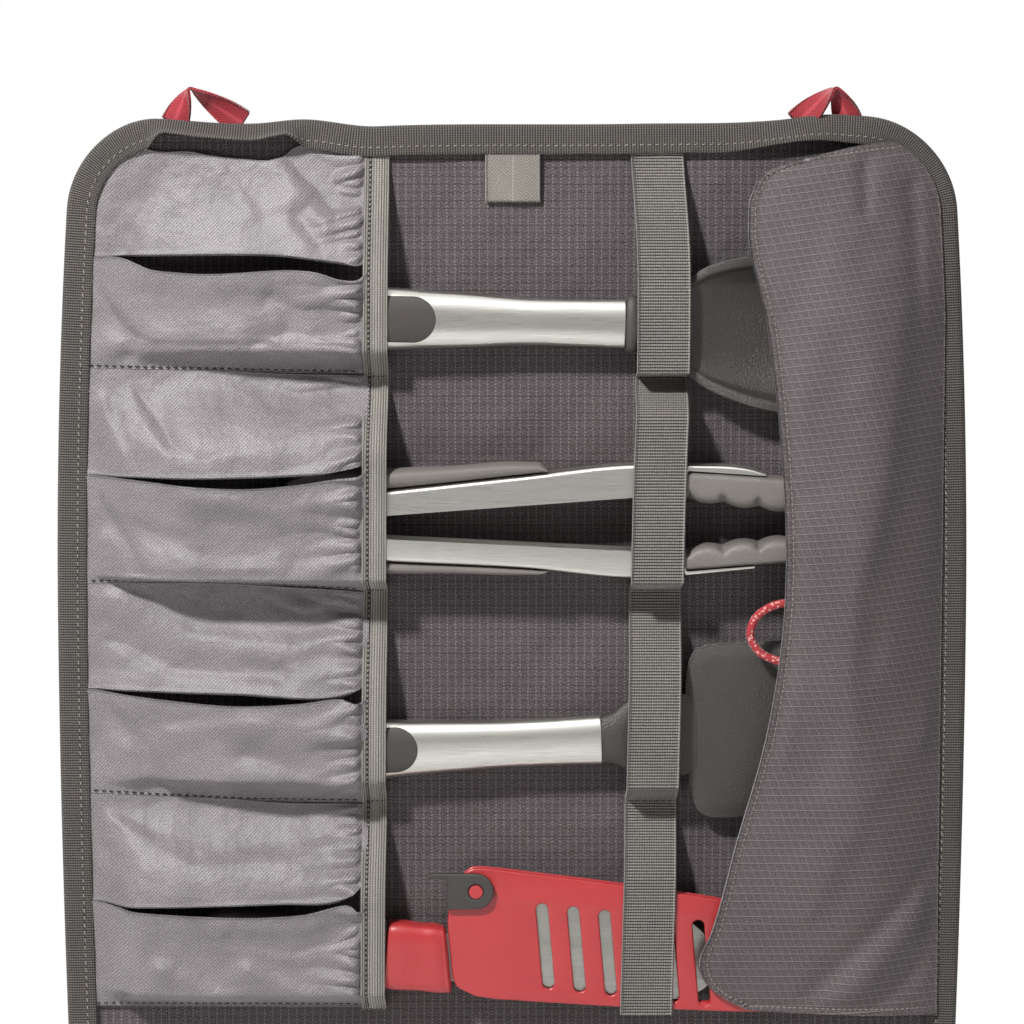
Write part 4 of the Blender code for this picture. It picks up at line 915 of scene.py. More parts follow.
ROWS = (
    Row(-0.1210, -0.0940, 0.0175, -0.0897,
        ((-0.1983, -0.0790), (-0.1716, -0.0783), (-0.1231, -0.0785), (-0.0917, -0.0818), (-0.0780, -0.0823),
         (-0.0700, -0.0790)),
        ((-0.2000, -0.0796), (-0.1861, -0.0804), (-0.1758, -0.0855), (-0.1650, -0.0870), (-0.1043, -0.0870),
         (-0.0917, -0.0900), (-0.0780, -0.0893), (-0.0700, -0.0850)),
        ((((-0.166, -0.029), (-0.173, -0.050), (-0.182, -0.077)), -0.0042, 0.007, 0.008),
         (((-0.100, -0.032), (-0.091, -0.043), (-0.081, -0.054), (-0.071, -0.054)), -0.0040, 0.007, 0.004),
         (((-0.108, -0.036), (-0.098, -0.052), (-0.086, -0.066)), 0.0022, 0.005, 0.009),
         (((-0.140, -0.034), (-0.122, -0.058)), 0.0012, 0.004, 0.008),
         (((-0.098, -0.062), (-0.088, -0.073), (-0.072, -0.070)), -0.0026, 0.006, 0.004)),
        ((((-0.199, -0.091), (-0.187, -0.106), (-0.176, -0.117), (-0.178, -0.127)), -0.0034, 0.003, 0.007),
         (((-0.111, -0.098), (-0.096, -0.106), (-0.071, -0.109)), -0.0026, 0.004, 0.006),
         (((-0.118, -0.118), (-0.100, -0.112), (-0.072, -0.117)), -0.0026, 0.006, 0.003),
         (((-0.165, -0.1165), (-0.112, -0.1165)), 0.0020, 0.010, 0.0025)),
        ),
    Row(-0.2281, -0.1719, 0.0230, -0.1450,
        ((-0.1998, -0.1808), (-0.1443, -0.1805), (-0.0968, -0.1777), (-0.0700, -0.1734)),
        ((-0.2000, -0.1812), (-0.1861, -0.1824), (-0.1335, -0.1861), (-0.1128, -0.1842), (-0.0917, -0.1814),
         (-0.0780, -0.1802), (-0.0700, -0.1780)),
        ((((-0.176, -0.131), (-0.169, -0.149), (-0.157, -0.165), (-0.142, -0.167), (-0.110, -0.158),
           (-0.071, -0.146)), -0.0040, 0.008, 0.004),
         (((-0.192, -0.148), (-0.182, -0.172)), 0.0022, 0.004, 0.009),
         (((-0.120, -0.140), (-0.100, -0.148), (-0.074, -0.140)), -0.0024, 0.004, 0.007)),
        ((((-0.190, -0.202), (-0.130, -0.215), (-0.072, -0.205)), -0.0024, 0.005, 0.008),
         (((-0.196, -0.190), (-0.180, -0.212), (-0.172, -0.226)), -0.0026, 0.003, 0.007),
         (((-0.150, -0.190), (-0.110, -0.196), (-0.072, -0.191)), 0.0018, 0.004, 0.007),
         (((-0.170, -0.2225), (-0.110, -0.2225)), 0.0018, 0.010, 0.003)),
        ),
    Row(-0.3227, -0.2966, 0.0175, -0.0901,
        ((-0.1988, -0.2820), (-0.1443, -0.2829), (-0.0813, -0.2811), (-0.0700, -0.2768)),
        ((-0.2000, -0.2824), (-0.1706, -0.2867), (-0.1443, -0.2888), (-0.1128, -0.2872), (-0.0917, -0.2853),
         (-0.0780, -0.2872), (-0.0700, -0.2850)),
        ((((-0.185, -0.240), (-0.150, -0.258), (-0.100, -0.262), (-0.072, -0.252)), 0.0026, 0.005, 0.010),
         (((-0.192, -0.255), (-0.160, -0.272), (-0.110, -0.275)), -0.0026, 0.007, 0.004),
         (((-0.125, -0.240), (-0.100, -0.250), (-0.073, -0.243)), -0.0024, 0.004, 0.007)),
        ((((-0.160, -0.302), (-0.120, -0.297), (-0.072, -0.300)), 0.0022, 0.004, 0.009),
         (((-0.190, -0.292), (-0.172, -0.310), (-0.165, -0.328)), -0.0026, 0.004, 0.007),
         (((-0.160, -0.3235), (-0.112, -0.3245)), 0.0020, 0.010, 0.003),
         (((-0.125, -0.312), (-0.100, -0.318), (-0.072, -0.310)), -0.0020, 0.006, 0.004)),
        ),
    Row(-0.4236, -0.3803, 0.0210, -0.1730,
        ((-0.1979, -0.3833), (-0.1231, -0.3805), (-0.0898, -0.3788), (-0.0700, -0.3704)),
        ((-0.2000, -0.3836), (-0.1598, -0.3868), (-0.1335, -0.3875), (-0.1128, -0.3863), (-0.0846, -0.3821),
         (-0.0748, -0.3850), (-0.0700, -0.3800)),
        ((((-0.190, -0.345), (-0.150, -0.365), (-0.100, -0.362), (-0.072, -0.350)), 0.0024, 0.004, 0.009),
         (((-0.180, -0.340), (-0.140, -0.353), (-0.100, -0.350), (-0.072, -0.343)), -0.0026, 0.007, 0.004),
         (((-0.190, -0.360), (-0.170, -0.376)), -0.0022, 0.004, 0.006)),
        ((((-0.188, -0.384), (-0.173, -0.404), (-0.182, -0.424)), -0.0034, 0.004, 0.007),
         (((-0.164, -0.413), (-0.129, -0.429)), 0.0024, 0.004, 0.007),
         (((-0.124, -0.413), (-0.087, -0.429)), 0.0024, 0.004, 0.007),
         (((-0.130, -0.398), (-0.100, -0.402), (-0.072, -0.394)), -0.0020, 0.005, 0.003)),
        ),
)


@dataclass
class Panel:
    """The ripstop panel that carries everything, with its folded edge tape."""

    thick: float = 0.0014
    rows: int = 230
    columns: int = 210
    undulation: float = 0.0006
    lift_draw: float = 62.0
    seam: float = 0.0036

    def build(self) -> None:
        """Makes the panel's cloth, the edge tape and the tape's stitching."""
        self.cloth()
        self.tape()

    def cloth(self) -> None:
        """The panel: rows from bottom to top between its two sides, waved backwards by two crossed sines."""
        v, u = np.meshgrid(np.linspace(0, 1, self.rows), np.linspace(-1, 1, self.columns), indexing="ij")
        inset = GAP + LAYOUT.tape
        low, high = LAYOUT.top - LAYOUT.height + inset, LAYOUT.top - inset
        z = low + (high - low) * v
        x = u * LAYOUT.side_x(z, inset)
        sway = 1 + np.sin(x * 61 + 5 * np.sin(z * 23)) * np.sin(z * 47 + 2.5 * np.sin(x * 31))
        y = self.undulation * (sway - 0.6)
        z = z + LAYOUT.wave(x, z)
        obj = cloth("panel_cloth", np.stack([x, y, z], 2), self.thick)
        dress(obj, PANEL_CLOTH, "root", "back_panel")

    def tape(self) -> None:
        """The edge tape: a U-shaped middle line, front leg, half circle and back leg, carried round the rim.

        Where its front lip lifts, the lip is drawn in by 6.2% of its width for each millimetre past 1.2 mm.
        """
        count, leg = 760, 9
        rim = LAYOUT.rim(0.0, count)
        run = unit(np.roll(rim, -1, 0) - np.roll(rim, 1, 0))
        inward = np.stack([-run[:, 1], run[:, 0]], 1)
        near, far = -0.0031, 0.0020
        radius = (far - near) / 2
        legs = np.linspace(LAYOUT.binding, radius, leg)
        turn = np.linspace(0, math.pi, 9)[1:-1]
        a = np.concatenate([legs, radius - radius * np.sin(turn), legs[::-1]])
        y = np.concatenate([np.full(leg, near), (near + far) / 2 - radius * np.cos(turn), np.full(leg, far)])
        around = arc_length(np.concatenate([rim, rim[:1]]))
        lift = self.tape_lift(rim, around[:-1])
        front_share = np.concatenate([np.linspace(1, 0.1, leg), np.zeros(len(a) - leg)])
        shrink = self.lift_draw * np.maximum(lift - 0.0012, 0)
        draw = 1 - shrink[:, None] * front_share
        middle = np.empty((count, len(a), 3))
        middle[..., 0] = rim[:, :1] + inward[:, :1] * a * draw
        middle[..., 1] = y - lift[:, None] * front_share
        middle[..., 2] = rim[:, 1:] + inward[:, 1:] * a * draw
        across = arc_length(np.stack([a, y], 1))
        obj = cloth("edge_tape", middle, LAYOUT.tape, pairs(around, across), ring=True)
        dress(obj, BINDING_TAPE, "root", "edge_binding")
        at = LAYOUT.binding - self.seam
        share = (at - radius) / (LAYOUT.binding - radius)
        pull = (1 - shrink * share) * at
        stitch = Stitch(thread=0.00060, length=0.0022, pitch=0.0036, lean=0.25)
        for name, depth, reach, facing in (
            ("edge_tape_stitches", near - LAYOUT.tape / 2 - lift * share, pull, TO_FRONT),
            ("edge_tape_back_stitches", np.full(count, far + LAYOUT.tape / 2), np.full(count, at), -TO_FRONT),
        ):
            line = np.stack([rim[:, 0] + inward[:, 0] * reach, depth, rim[:, 1] + inward[:, 1] * reach], 1)
            line = np.concatenate([line, line[:1]])
            dress(stitch.sew(name, line, facing), THREAD, "root")
            # The needle holes are dressed in the dark thread as painted shade.
            dress(stitch.punch(f"{name[:-9]}_hole_shade", line, facing), DARK_THREAD_AND_HOLE_SHADE, "root")

    def tape_lift(self, rim: Array, run: Array) -> Array:
        """How far the tape's inner edge stands forward: small ripples, and a bulge by each hang loop.

        Args:
            rim: points of the outline, as x and z.
            run: how far along it each one is.

        Returns:
            The lift at each point.
        """
        ripple = 0.00025 * (1 + np.sin(run * 190 + 2 * np.sin(run * 37)))
        top = smooth_step(1 - (LAYOUT.top - rim[:, 1]) / 0.01)
        left = smooth_step((rim[:, 0] + 0.172) / 0.012) * smooth_step((-0.094 - rim[:, 0]) / 0.012)
        return ripple + top * (0.0012 + 0.0090 * left + 0.0035 * bump_at(rim[:, 0], 0.130, 0.020))


@dataclass
class Pockets:
    """Four rows of satin pockets: a cover sewn along its top and a pocket sewn along its bottom in each row."""

    thick: float = 0.0007
    base: float = 0.0007
    tuck: float = 0.0040
    under_elastic: float = 0.0030
    columns: int = 190
    left: float = -0.2000
    elastic: float = -0.0690
    allowance: float = 0.0010
    swell: float = 0.0045
    seed: int = 11
    top_drop: Points = ((-0.1720, 0.0), (-0.1645, 0.0030), (-0.1540, 0.0052), (-0.1430, 0.0050), (-0.1320, 0.0068),
                        (-0.1197, 0.0076), (-0.1062, 0.0070), (-0.1031, 0.0055), (-0.1012, 0.0028), (-0.0960, 0.0))

    def build(self) -> None:
        """Makes the eight cloths and the stitched lines between the rows."""
        for number in range(len(ROWS)):
            self.cover(number)
            self.pocket(number)
        for line in range(1, len(ROWS) + 1):
            self.seam(line)

    def right(self, z: Array) -> Array:
        """Where the cloth ends, a little under the elastic band."""
        return along(LAYOUT.elastic_x, z) - LAYOUT.elastic_width / 2 + self.under_elastic

    def depth(self, piece: int, x: Array, z: Array) -> Array:
        """The cloth's depth: it rises from both seams to the tool's front, less towards the left binding.

        Folds from the row's list and gathers along the elastic are added, and nothing sinks behind the cloth's
        lowest place or into the tool.

        Args:
            piece: the cloth's number, two for each row and the cover first.
            x: the points' x.
            z: their height.

        Returns:
            The depth of the cloth's middle.
        """
        number, lower = divmod(piece, 2)
        row = ROWS[number]
        top, bottom = LAYOUT.seam(number, x), LAYOUT.seam(number + 1, x)
        edge = -LAYOUT.side_x(z, LAYOUT.binding)
        lift = row.deep + TOOL_ROOM + self.thick / 2 - self.base
        rise = np.minimum(smooth_step((top - z) / (top - row.high)), smooth_step((z - bottom) / (row.low - bottom)))
        over = smooth_step((x - edge) / (row.full - edge))
        puffed = 0.28 * smooth_step((x - edge) / 0.022) + 0.72 * over
        depth = self.base + lift * rise * puffed
        inside = smooth_step((x - edge) / 0.010) * smooth_step((top - z) / 0.008) * smooth_step((z - bottom) / 0.006)
        for route, height, *widths in row.pocket_folds if lower else row.cover_folds:
            depth = depth + height * fold(x, z, route, *widths) * inside
        depth = depth + self.gathers(piece, x, z)
        sink = 0.0006 * smooth_step((x - self.right(z) + 0.006) / 0.004)
        lowest = self.base + (lift - 0.0006) * rise * over**2
        return lowest + np.logaddexp(0, (depth - sink - lowest) / 0.0003) * 0.0003

    def gathers(self, piece: int, x: Array, z: Array) -> Array:
        """Gathers along the elastic: ridges that fan out to the left and die away, with sharp notches between.

        Each ridge is a bell across its own slanting line. Along the line it rises within 2 mm of the elastic
        and then falls with the distance from it.

        Args:
            piece: the cloth's number, which sets its gathers apart.
            x: the points' x.
            z: their height.

        Returns:
            The depth that the gathers add.
        """
        random = np.random.default_rng(self.seed + piece)
        top, bottom = LAYOUT.seam(piece // 2, x), LAYOUT.seam(piece // 2 + 1, x)
        away = np.maximum(self.right(z) - self.under_elastic - x, 0)
        total = np.zeros(x.shape)
        height = float(np.mean(top)) - 0.004
        while height > float(np.mean(bottom)) + 0.003:
            reach = random.uniform(0.009, 0.022)
            slope = random.uniform(-0.45, 0.35)
            width = random.uniform(0.0017, 0.0027) + 0.12 * away
            tall = random.uniform(0.0036, 0.0060)
            shape = (1 - np.exp(-away / 0.0016)) * np.exp(-away / reach)
            total = np.maximum(total, tall * shape * bump_at(z, height + slope * away, width))
            height -= random.uniform(0.0046, 0.0080)
        return total * smooth_step((top - z) / 0.004) * smooth_step((z - bottom) / 0.004)

    def surface(self, piece: int, u: Array, z: Array, extra: Array) -> Array:
        """The cloth's middle surface.

        Args:
            piece: the cloth's number.
            u: from 0 at the tucked left edge to 1 under the elastic.
            z: heights.
            extra: depth to add.

        Returns:
            Points, rows by columns.
        """
        x = self.across(u, z)
        return np.stack([x, front(self.depth(piece, x, z) + extra), z], 2)

    def across(self, u: Array, z: Array) -> Array:
        """The x of points from the tucked left edge to the right one, closer together on the right."""
        left = -LAYOUT.side_x(z, LAYOUT.binding - self.tuck)
        return left + (self.right(z) - left) * (1 - (1 - u) ** 1.35)

    def cover(self, number: int) -> None:
        """The upper cloth of a row, from its seam down to its hem.

        Args:
            number: the row, 0 at the top.
        """
        v, u = np.meshgrid(np.linspace(0, 1, 84), np.linspace(0, 1, self.columns), indexing="ij")
        guess = self.left + (self.elastic - self.left) * u
        sag = 0.0010 * smooth_step((guess + 0.150) / 0.03)
        start = LAYOUT.seam(number, guess) - self.allowance - sag
        if number == 0:
            tucked = LAYOUT.seam(0, guess) + self.tuck + LAYOUT.wave(guess, LAYOUT.seam(0, guess))
            start = tucked - along(self.top_drop, self.across(u, tucked))
        end = along(ROWS[number].hem, guess)
        z = start + (end - start) * v
        bow = np.sin(math.pi * u)
        points = self.surface(2 * number, u, z, 0.0020 * v**3 * bow)
        self.finish_cloth(f"pocket_cover_{number + 1}", points, (1 - v) * (LAYOUT.seam(number, guess) - end))

    def pocket(self, number: int) -> None:
        """The lower cloth of a row, from its open mouth down to its seam.

        Args:
            number: the row, 0 at the top.
        """
        v, u = np.meshgrid(np.linspace(0, 1, 92), np.linspace(0, 1, self.columns), indexing="ij")
        guess = self.left + (self.elastic - self.left) * u
        stop = LAYOUT.seam(number + 1, guess) - self.allowance
        start = along(ROWS[number].mouth, guess)
        z = start + (stop - start) * v
        bow = np.sin(math.pi * u) ** 0.7
        stand = self.swell * np.exp(-((v / 0.22) ** 2)) * bow
        points = self.surface(2 * number + 1, u, z, stand)
        self.finish_cloth(f"pocket_{number + 1}", points, v * (start - stop))

    def finish_cloth(self, name: str, points: Array, from_hem: Array) -> None:
        """Gives a cloth its thicker turned hem and its finish.

        Args:
            name: the CAD node that the cloth replaces.
            points: its middle surface.
            from_hem: each point's distance from the hem.
        """
        turned = smooth_step((0.0020 - from_hem) / 0.0016)
        obj = cloth(f"{name}_satin", points, self.thick * (1 + 0.9 * turned))
        dress(obj, SATIN, "root", name)
        flat = [np.mean([arc_length(line)[-1] for line in lines[::12]]) for lines in (points, points.swapaxes(0, 1))]

    def seam(self, line: int) -> None:
        """The stitched line between two rows, in a shallow groove.

        Args:
            line: the line, 1 below the top row.
        """
        x = np.linspace(-0.1985, float(self.right(np.array([-0.2]))[0]) - 0.004, 160)
        z = LAYOUT.seam(line, x) + 0.0002
        path = np.stack([x, np.full(len(x), front(self.base + self.thick / 2 + 0.0006)), z], 1)
        stitch = Stitch(thread=0.00060, length=0.0024, pitch=0.0036)
        stitch.run(f"row_seam_stitches_{line}", path)


@dataclass
class Band:
    """A band that lies over the tools and is tacked to the panel between the rows.

    Spans give, for each row, the heights between which the band lies over the tool, and the tool's front.
    """

    node: str
    finish: Woven
    centre: Points
    width: float
    thick: float
    spans: tuple[tuple[float, float, float], ...]
    rib_count: int = 0
    rib_height: float = 0.0
    cross_pitch: float = 0.0
    cross_height: float = 0.0
    tack_drop: float = 0.0020
    row_lines: tuple[float, ...] = (-0.0295, -0.1330, -0.2335, -0.3340, -0.4345)

    def depth(self, z: Array) -> Array:
        """The middle's depth: level over each tool, with smooth slopes down to the tacks on both sides.

        Args:
            z: the heights.

        Returns:
            The depths.
        """
        base = GAP + self.thick / 2
        total = np.full(z.shape, base)
        for row, (low, high, deep) in enumerate(self.spans):
            top = self.row_lines[row] - (self.tack_drop if row else 0)
            bottom = self.row_lines[row + 1] - self.tack_drop
            lift = deep + TOOL_ROOM + self.thick / 2 - base
            share = np.minimum(smooth_step((top - z) / (top - high)), smooth_step((z - bottom) / (low - bottom)))
            total = np.where((z <= top) & (z > bottom), base + lift * share, total)
        return total

    def build(self) -> None:
        """Makes the band: the path down its middle, and across it a width with ribs."""
        z = np.linspace(self.row_lines[0] + 0.004, self.row_lines[-1] - self.tack_drop, 4000)
        path = np.stack([np.asarray(front(self.depth(z))), z], 1)
        step = 0.0009 if not self.cross_pitch else self.cross_pitch / 5
        path = resample(path, int(arc_length(path)[-1] / step))
        run = arc_length(path)
        columns = 6 * self.rib_count + 1 if self.rib_count else 15
        across = np.linspace(-1, 1, columns)
        x = along(self.centre, path[:, 1])[:, None] + across * (self.width - self.thick) / 2
        slope = unit(np.gradient(path, axis=0))
        out = np.stack([slope[:, 1], -slope[:, 0]], 1)
        ribs = self.rib_height * np.abs(np.sin(across * self.rib_count * math.pi / 2))
        waves = self.cross_height * np.abs(np.sin(run * math.pi / self.cross_pitch)) if self.cross_pitch else 0 * run
        thick = self.thick * (0.8 + 0 * x) + ribs + waves[:, None] * (1 - across**8)
        tack = self.tacked(path[:, 1])
        sunk = 0.5 * (thick - self.thick * 0.8)
        y = path[:, :1] + out[:, :1] * sunk
        z = path[:, 1:] + out[:, 1:] * sunk + 0 * x
        points = np.stack([x, y - 0.0004 * tack[:, None] * np.abs(across) ** 3, z], 2)
        uv = pairs(run, across * self.width / 2)
        obj = cloth(f"{self.node}_cloth", points, thick * (1 - 0.25 * tack[:, None]), uv)
        dress(obj, self.finish, "root", self.node)

    def tacked(self, z: Array) -> Array:
        """How near a point is to a tack, from 0 to 1."""
        return sum(bump_at(z, line - self.tack_drop, 0.0016) for line in self.row_lines[1:])

    def point(self, x: Array, z: Array, proud: float) -> Array:
        """Points on the band's front at these heights."""
        depth = self.depth(z) + self.thick / 2 + proud
        return np.stack([x + 0 * z, np.asarray(front(depth)), z], 1)


@dataclass
class Bands:
    """The elastic band over the handles, and the webbing strap over the necks, with their stitches."""

    elastic_spans: tuple = tuple((row.low, row.high, row.deep) for row in ROWS)
    strap_spans: tuple = ((-0.1320, -0.0883, 0.0173), (-0.2287, -0.1539, 0.0230), (-0.3258, -0.2804, 0.0167),
                          (-0.4349, -0.3721, 0.0155))
    strap_x: Points = ((-0.030, 0.0674), (-0.075, 0.0700), (-0.115, 0.0703), (-0.200, 0.0680), (-0.300, 0.0665),
                       (-0.435, 0.0632))

    def build(self) -> None:
        """Makes both bands, the elastic's zigzag edge, and the tacks."""
        elastic = Band("elastic_band", ELASTIC, LAYOUT.elastic_x, LAYOUT.elastic_width, 0.0011, self.elastic_spans,
                       rib_count=8, rib_height=0.00030)
        elastic.build()
        strap = Band("webbing_strap", WEBBING, self.strap_x, 0.025, 0.0012, self.strap_spans, cross_pitch=0.0014,
                     cross_height=0.00022)
        strap.build()
        self.zigzag(elastic)
        self.tacks(elastic, 4, 0.0090)
        self.tacks(strap, 7, 0.0215)

    def zigzag(self, band: Band) -> None:
        """Crossed stitches down the elastic, 3 mm inside its left edge, which hold the pockets' gathers.

        Args:
            band: the elastic band.
        """
        z = np.linspace(band.row_lines[0], band.row_lines[-1], 1400)
        x = along(band.centre, z) - band.width / 2 + 0.0030
        path = band.point(x, z, 0.0002)
        for name, lean in (("elastic_zig_stitches", 0.75), ("elastic_zag_stitches", -0.75)):
            stitch = Stitch(thread=0.00050, length=0.0026, pitch=0.0024, lean=lean)
            stitch.run(name, path)
            path = path[8:]

    def tacks(self, band: Band, count: int, span: float) -> None:
        """A row of slanted stitches across the band at each tack.

        Args:
            band: the band.
            count: stitches in each tack.
            span: each tack's width.
        """
        stitch = Stitch(thread=0.00055, length=span / count * 0.85, pitch=span / count, lean=0.3)
        for number, line in enumerate(band.row_lines[1:], 1):
            z = np.full(40, line - band.tack_drop)
            x = along(band.centre, z[:1])[0] + np.linspace(-span / 2, span / 2, 40)
            stitch.run(f"{band.node}_tack_{number}", band.point(x, z, -0.0001))


@dataclass
class TopTrim:
    """The folded tape tab at the top, and the two red hang loops."""

    tab_x: float = 0.0004
    tab_width: float = 0.0247
    tab_length: float = 0.0225
    tab_thick: float = 0.0008
    tab_gap: float = 0.0010
    tab_top: float = -0.0315
    loop_x: float = 0.1495
    loop_width: float = 0.0120
    loop_thick: float = 0.0012
    foot: float = -0.0175

    def build(self) -> None:
        """Makes the tab and the loops."""
        self.tab()
        for name, sign in (("hang_loop_left", -1.0), ("hang_loop_right", 1.0)):
            self.hang_loop(name, sign)

    def tab(self) -> None:
        """The tab: a tape that runs down, turns in a half circle and runs up again behind itself."""
        near = GAP + self.tab_thick / 2
        far = near + self.tab_thick + self.tab_gap
        radius = (far - near) / 2
        foot = self.tab_top - self.tab_length + radius + self.tab_thick / 2
        top = self.tab_top + 0.0015
        turn = np.linspace(math.pi, 2 * math.pi, 13)[1:-1]
        centre = float(front(near + radius))
        down = np.stack([np.full(26, front(far)), np.linspace(top, foot, 26)], 1)
        bend = np.stack([centre + radius * np.cos(turn), foot + radius * np.sin(turn)], 1)
        back = np.stack([np.full(26, front(near)), np.linspace(foot, self.tab_top, 26)], 1)
        path = np.concatenate([down, bend, back])
        across = np.linspace(-1, 1, 27)
        x = self.tab_x + across * self.tab_width / 2 + 0 * path[:, :1]
        sway = 0.0004 * np.sin(across * 3 + 0.6) * smooth_step((self.tab_top - path[:, 1:]) / 0.02)
        points = np.stack([x, path[:, :1] - sway * (path[:, :1] < centre), path[:, 1:] + 0 * x], 2)
        uv = pairs(arc_length(path), (across + 1) * self.tab_width / 2)
        edge = 1 + 0.25 * (np.abs(across) > 0.93)
        dress(cloth("loop_tab_tape", points, self.tab_thick * edge, uv), TAB_TAPE, "tab", "loop_tab")

    def hang_loop(self, name: str, sign: float) -> None:
        """A webbing loop: a ribbon that leaves the edge flat, turns edge-on at its top and comes down flat.

        Args:
            name: the CAD node that it replaces.
            sign: -1 for the left loop and 1 for the right one.
        """
        far_foot = 0.0245 if sign < 0 else 0.0170
        route = np.array([(-0.0075, self.foot), (-0.0010, -0.0022), (0.0, -0.0008), (0.0012, -0.0022),
                          (far_foot, self.foot)])
        path = resample(np.stack([sign * (self.loop_x - route[:, 0]), 0 * route[:, 0], route[:, 1]], 1), 90)
        padded = np.pad(path, ((3, 3), (0, 0)), mode="edge")
        path = np.stack([np.convolve(padded[:, k], np.full(7, 1 / 7), "valid") for k in range(3)], 1)
        share = np.linspace(0, 1, 90)
        apex = share[int(np.argmax(path[:, 2]))]
        angle = 0.5 * math.pi * (1 - np.abs(share - apex) / np.where(share < apex, apex, 1 - apex)) ** 1.2
        run = unit(np.gradient(path, axis=0))
        flat = np.stack([-run[:, 2], 0 * angle, run[:, 0]], 1) * np.where(share < apex, 1.0, -1.0)[:, None]
        side = flat * np.cos(angle)[:, None] - TO_FRONT * np.sin(angle)[:, None]
        across = np.linspace(-1, 1, 13)
        points = path[:, None] + side[:, None] * (across * self.loop_width / 2)[None, :, None]
        uv = pairs(arc_length(path), across * self.loop_width / 2)
        dress(cloth(f"{name}_webbing", points, self.loop_thick, uv), RED_TAPE, "root", name)


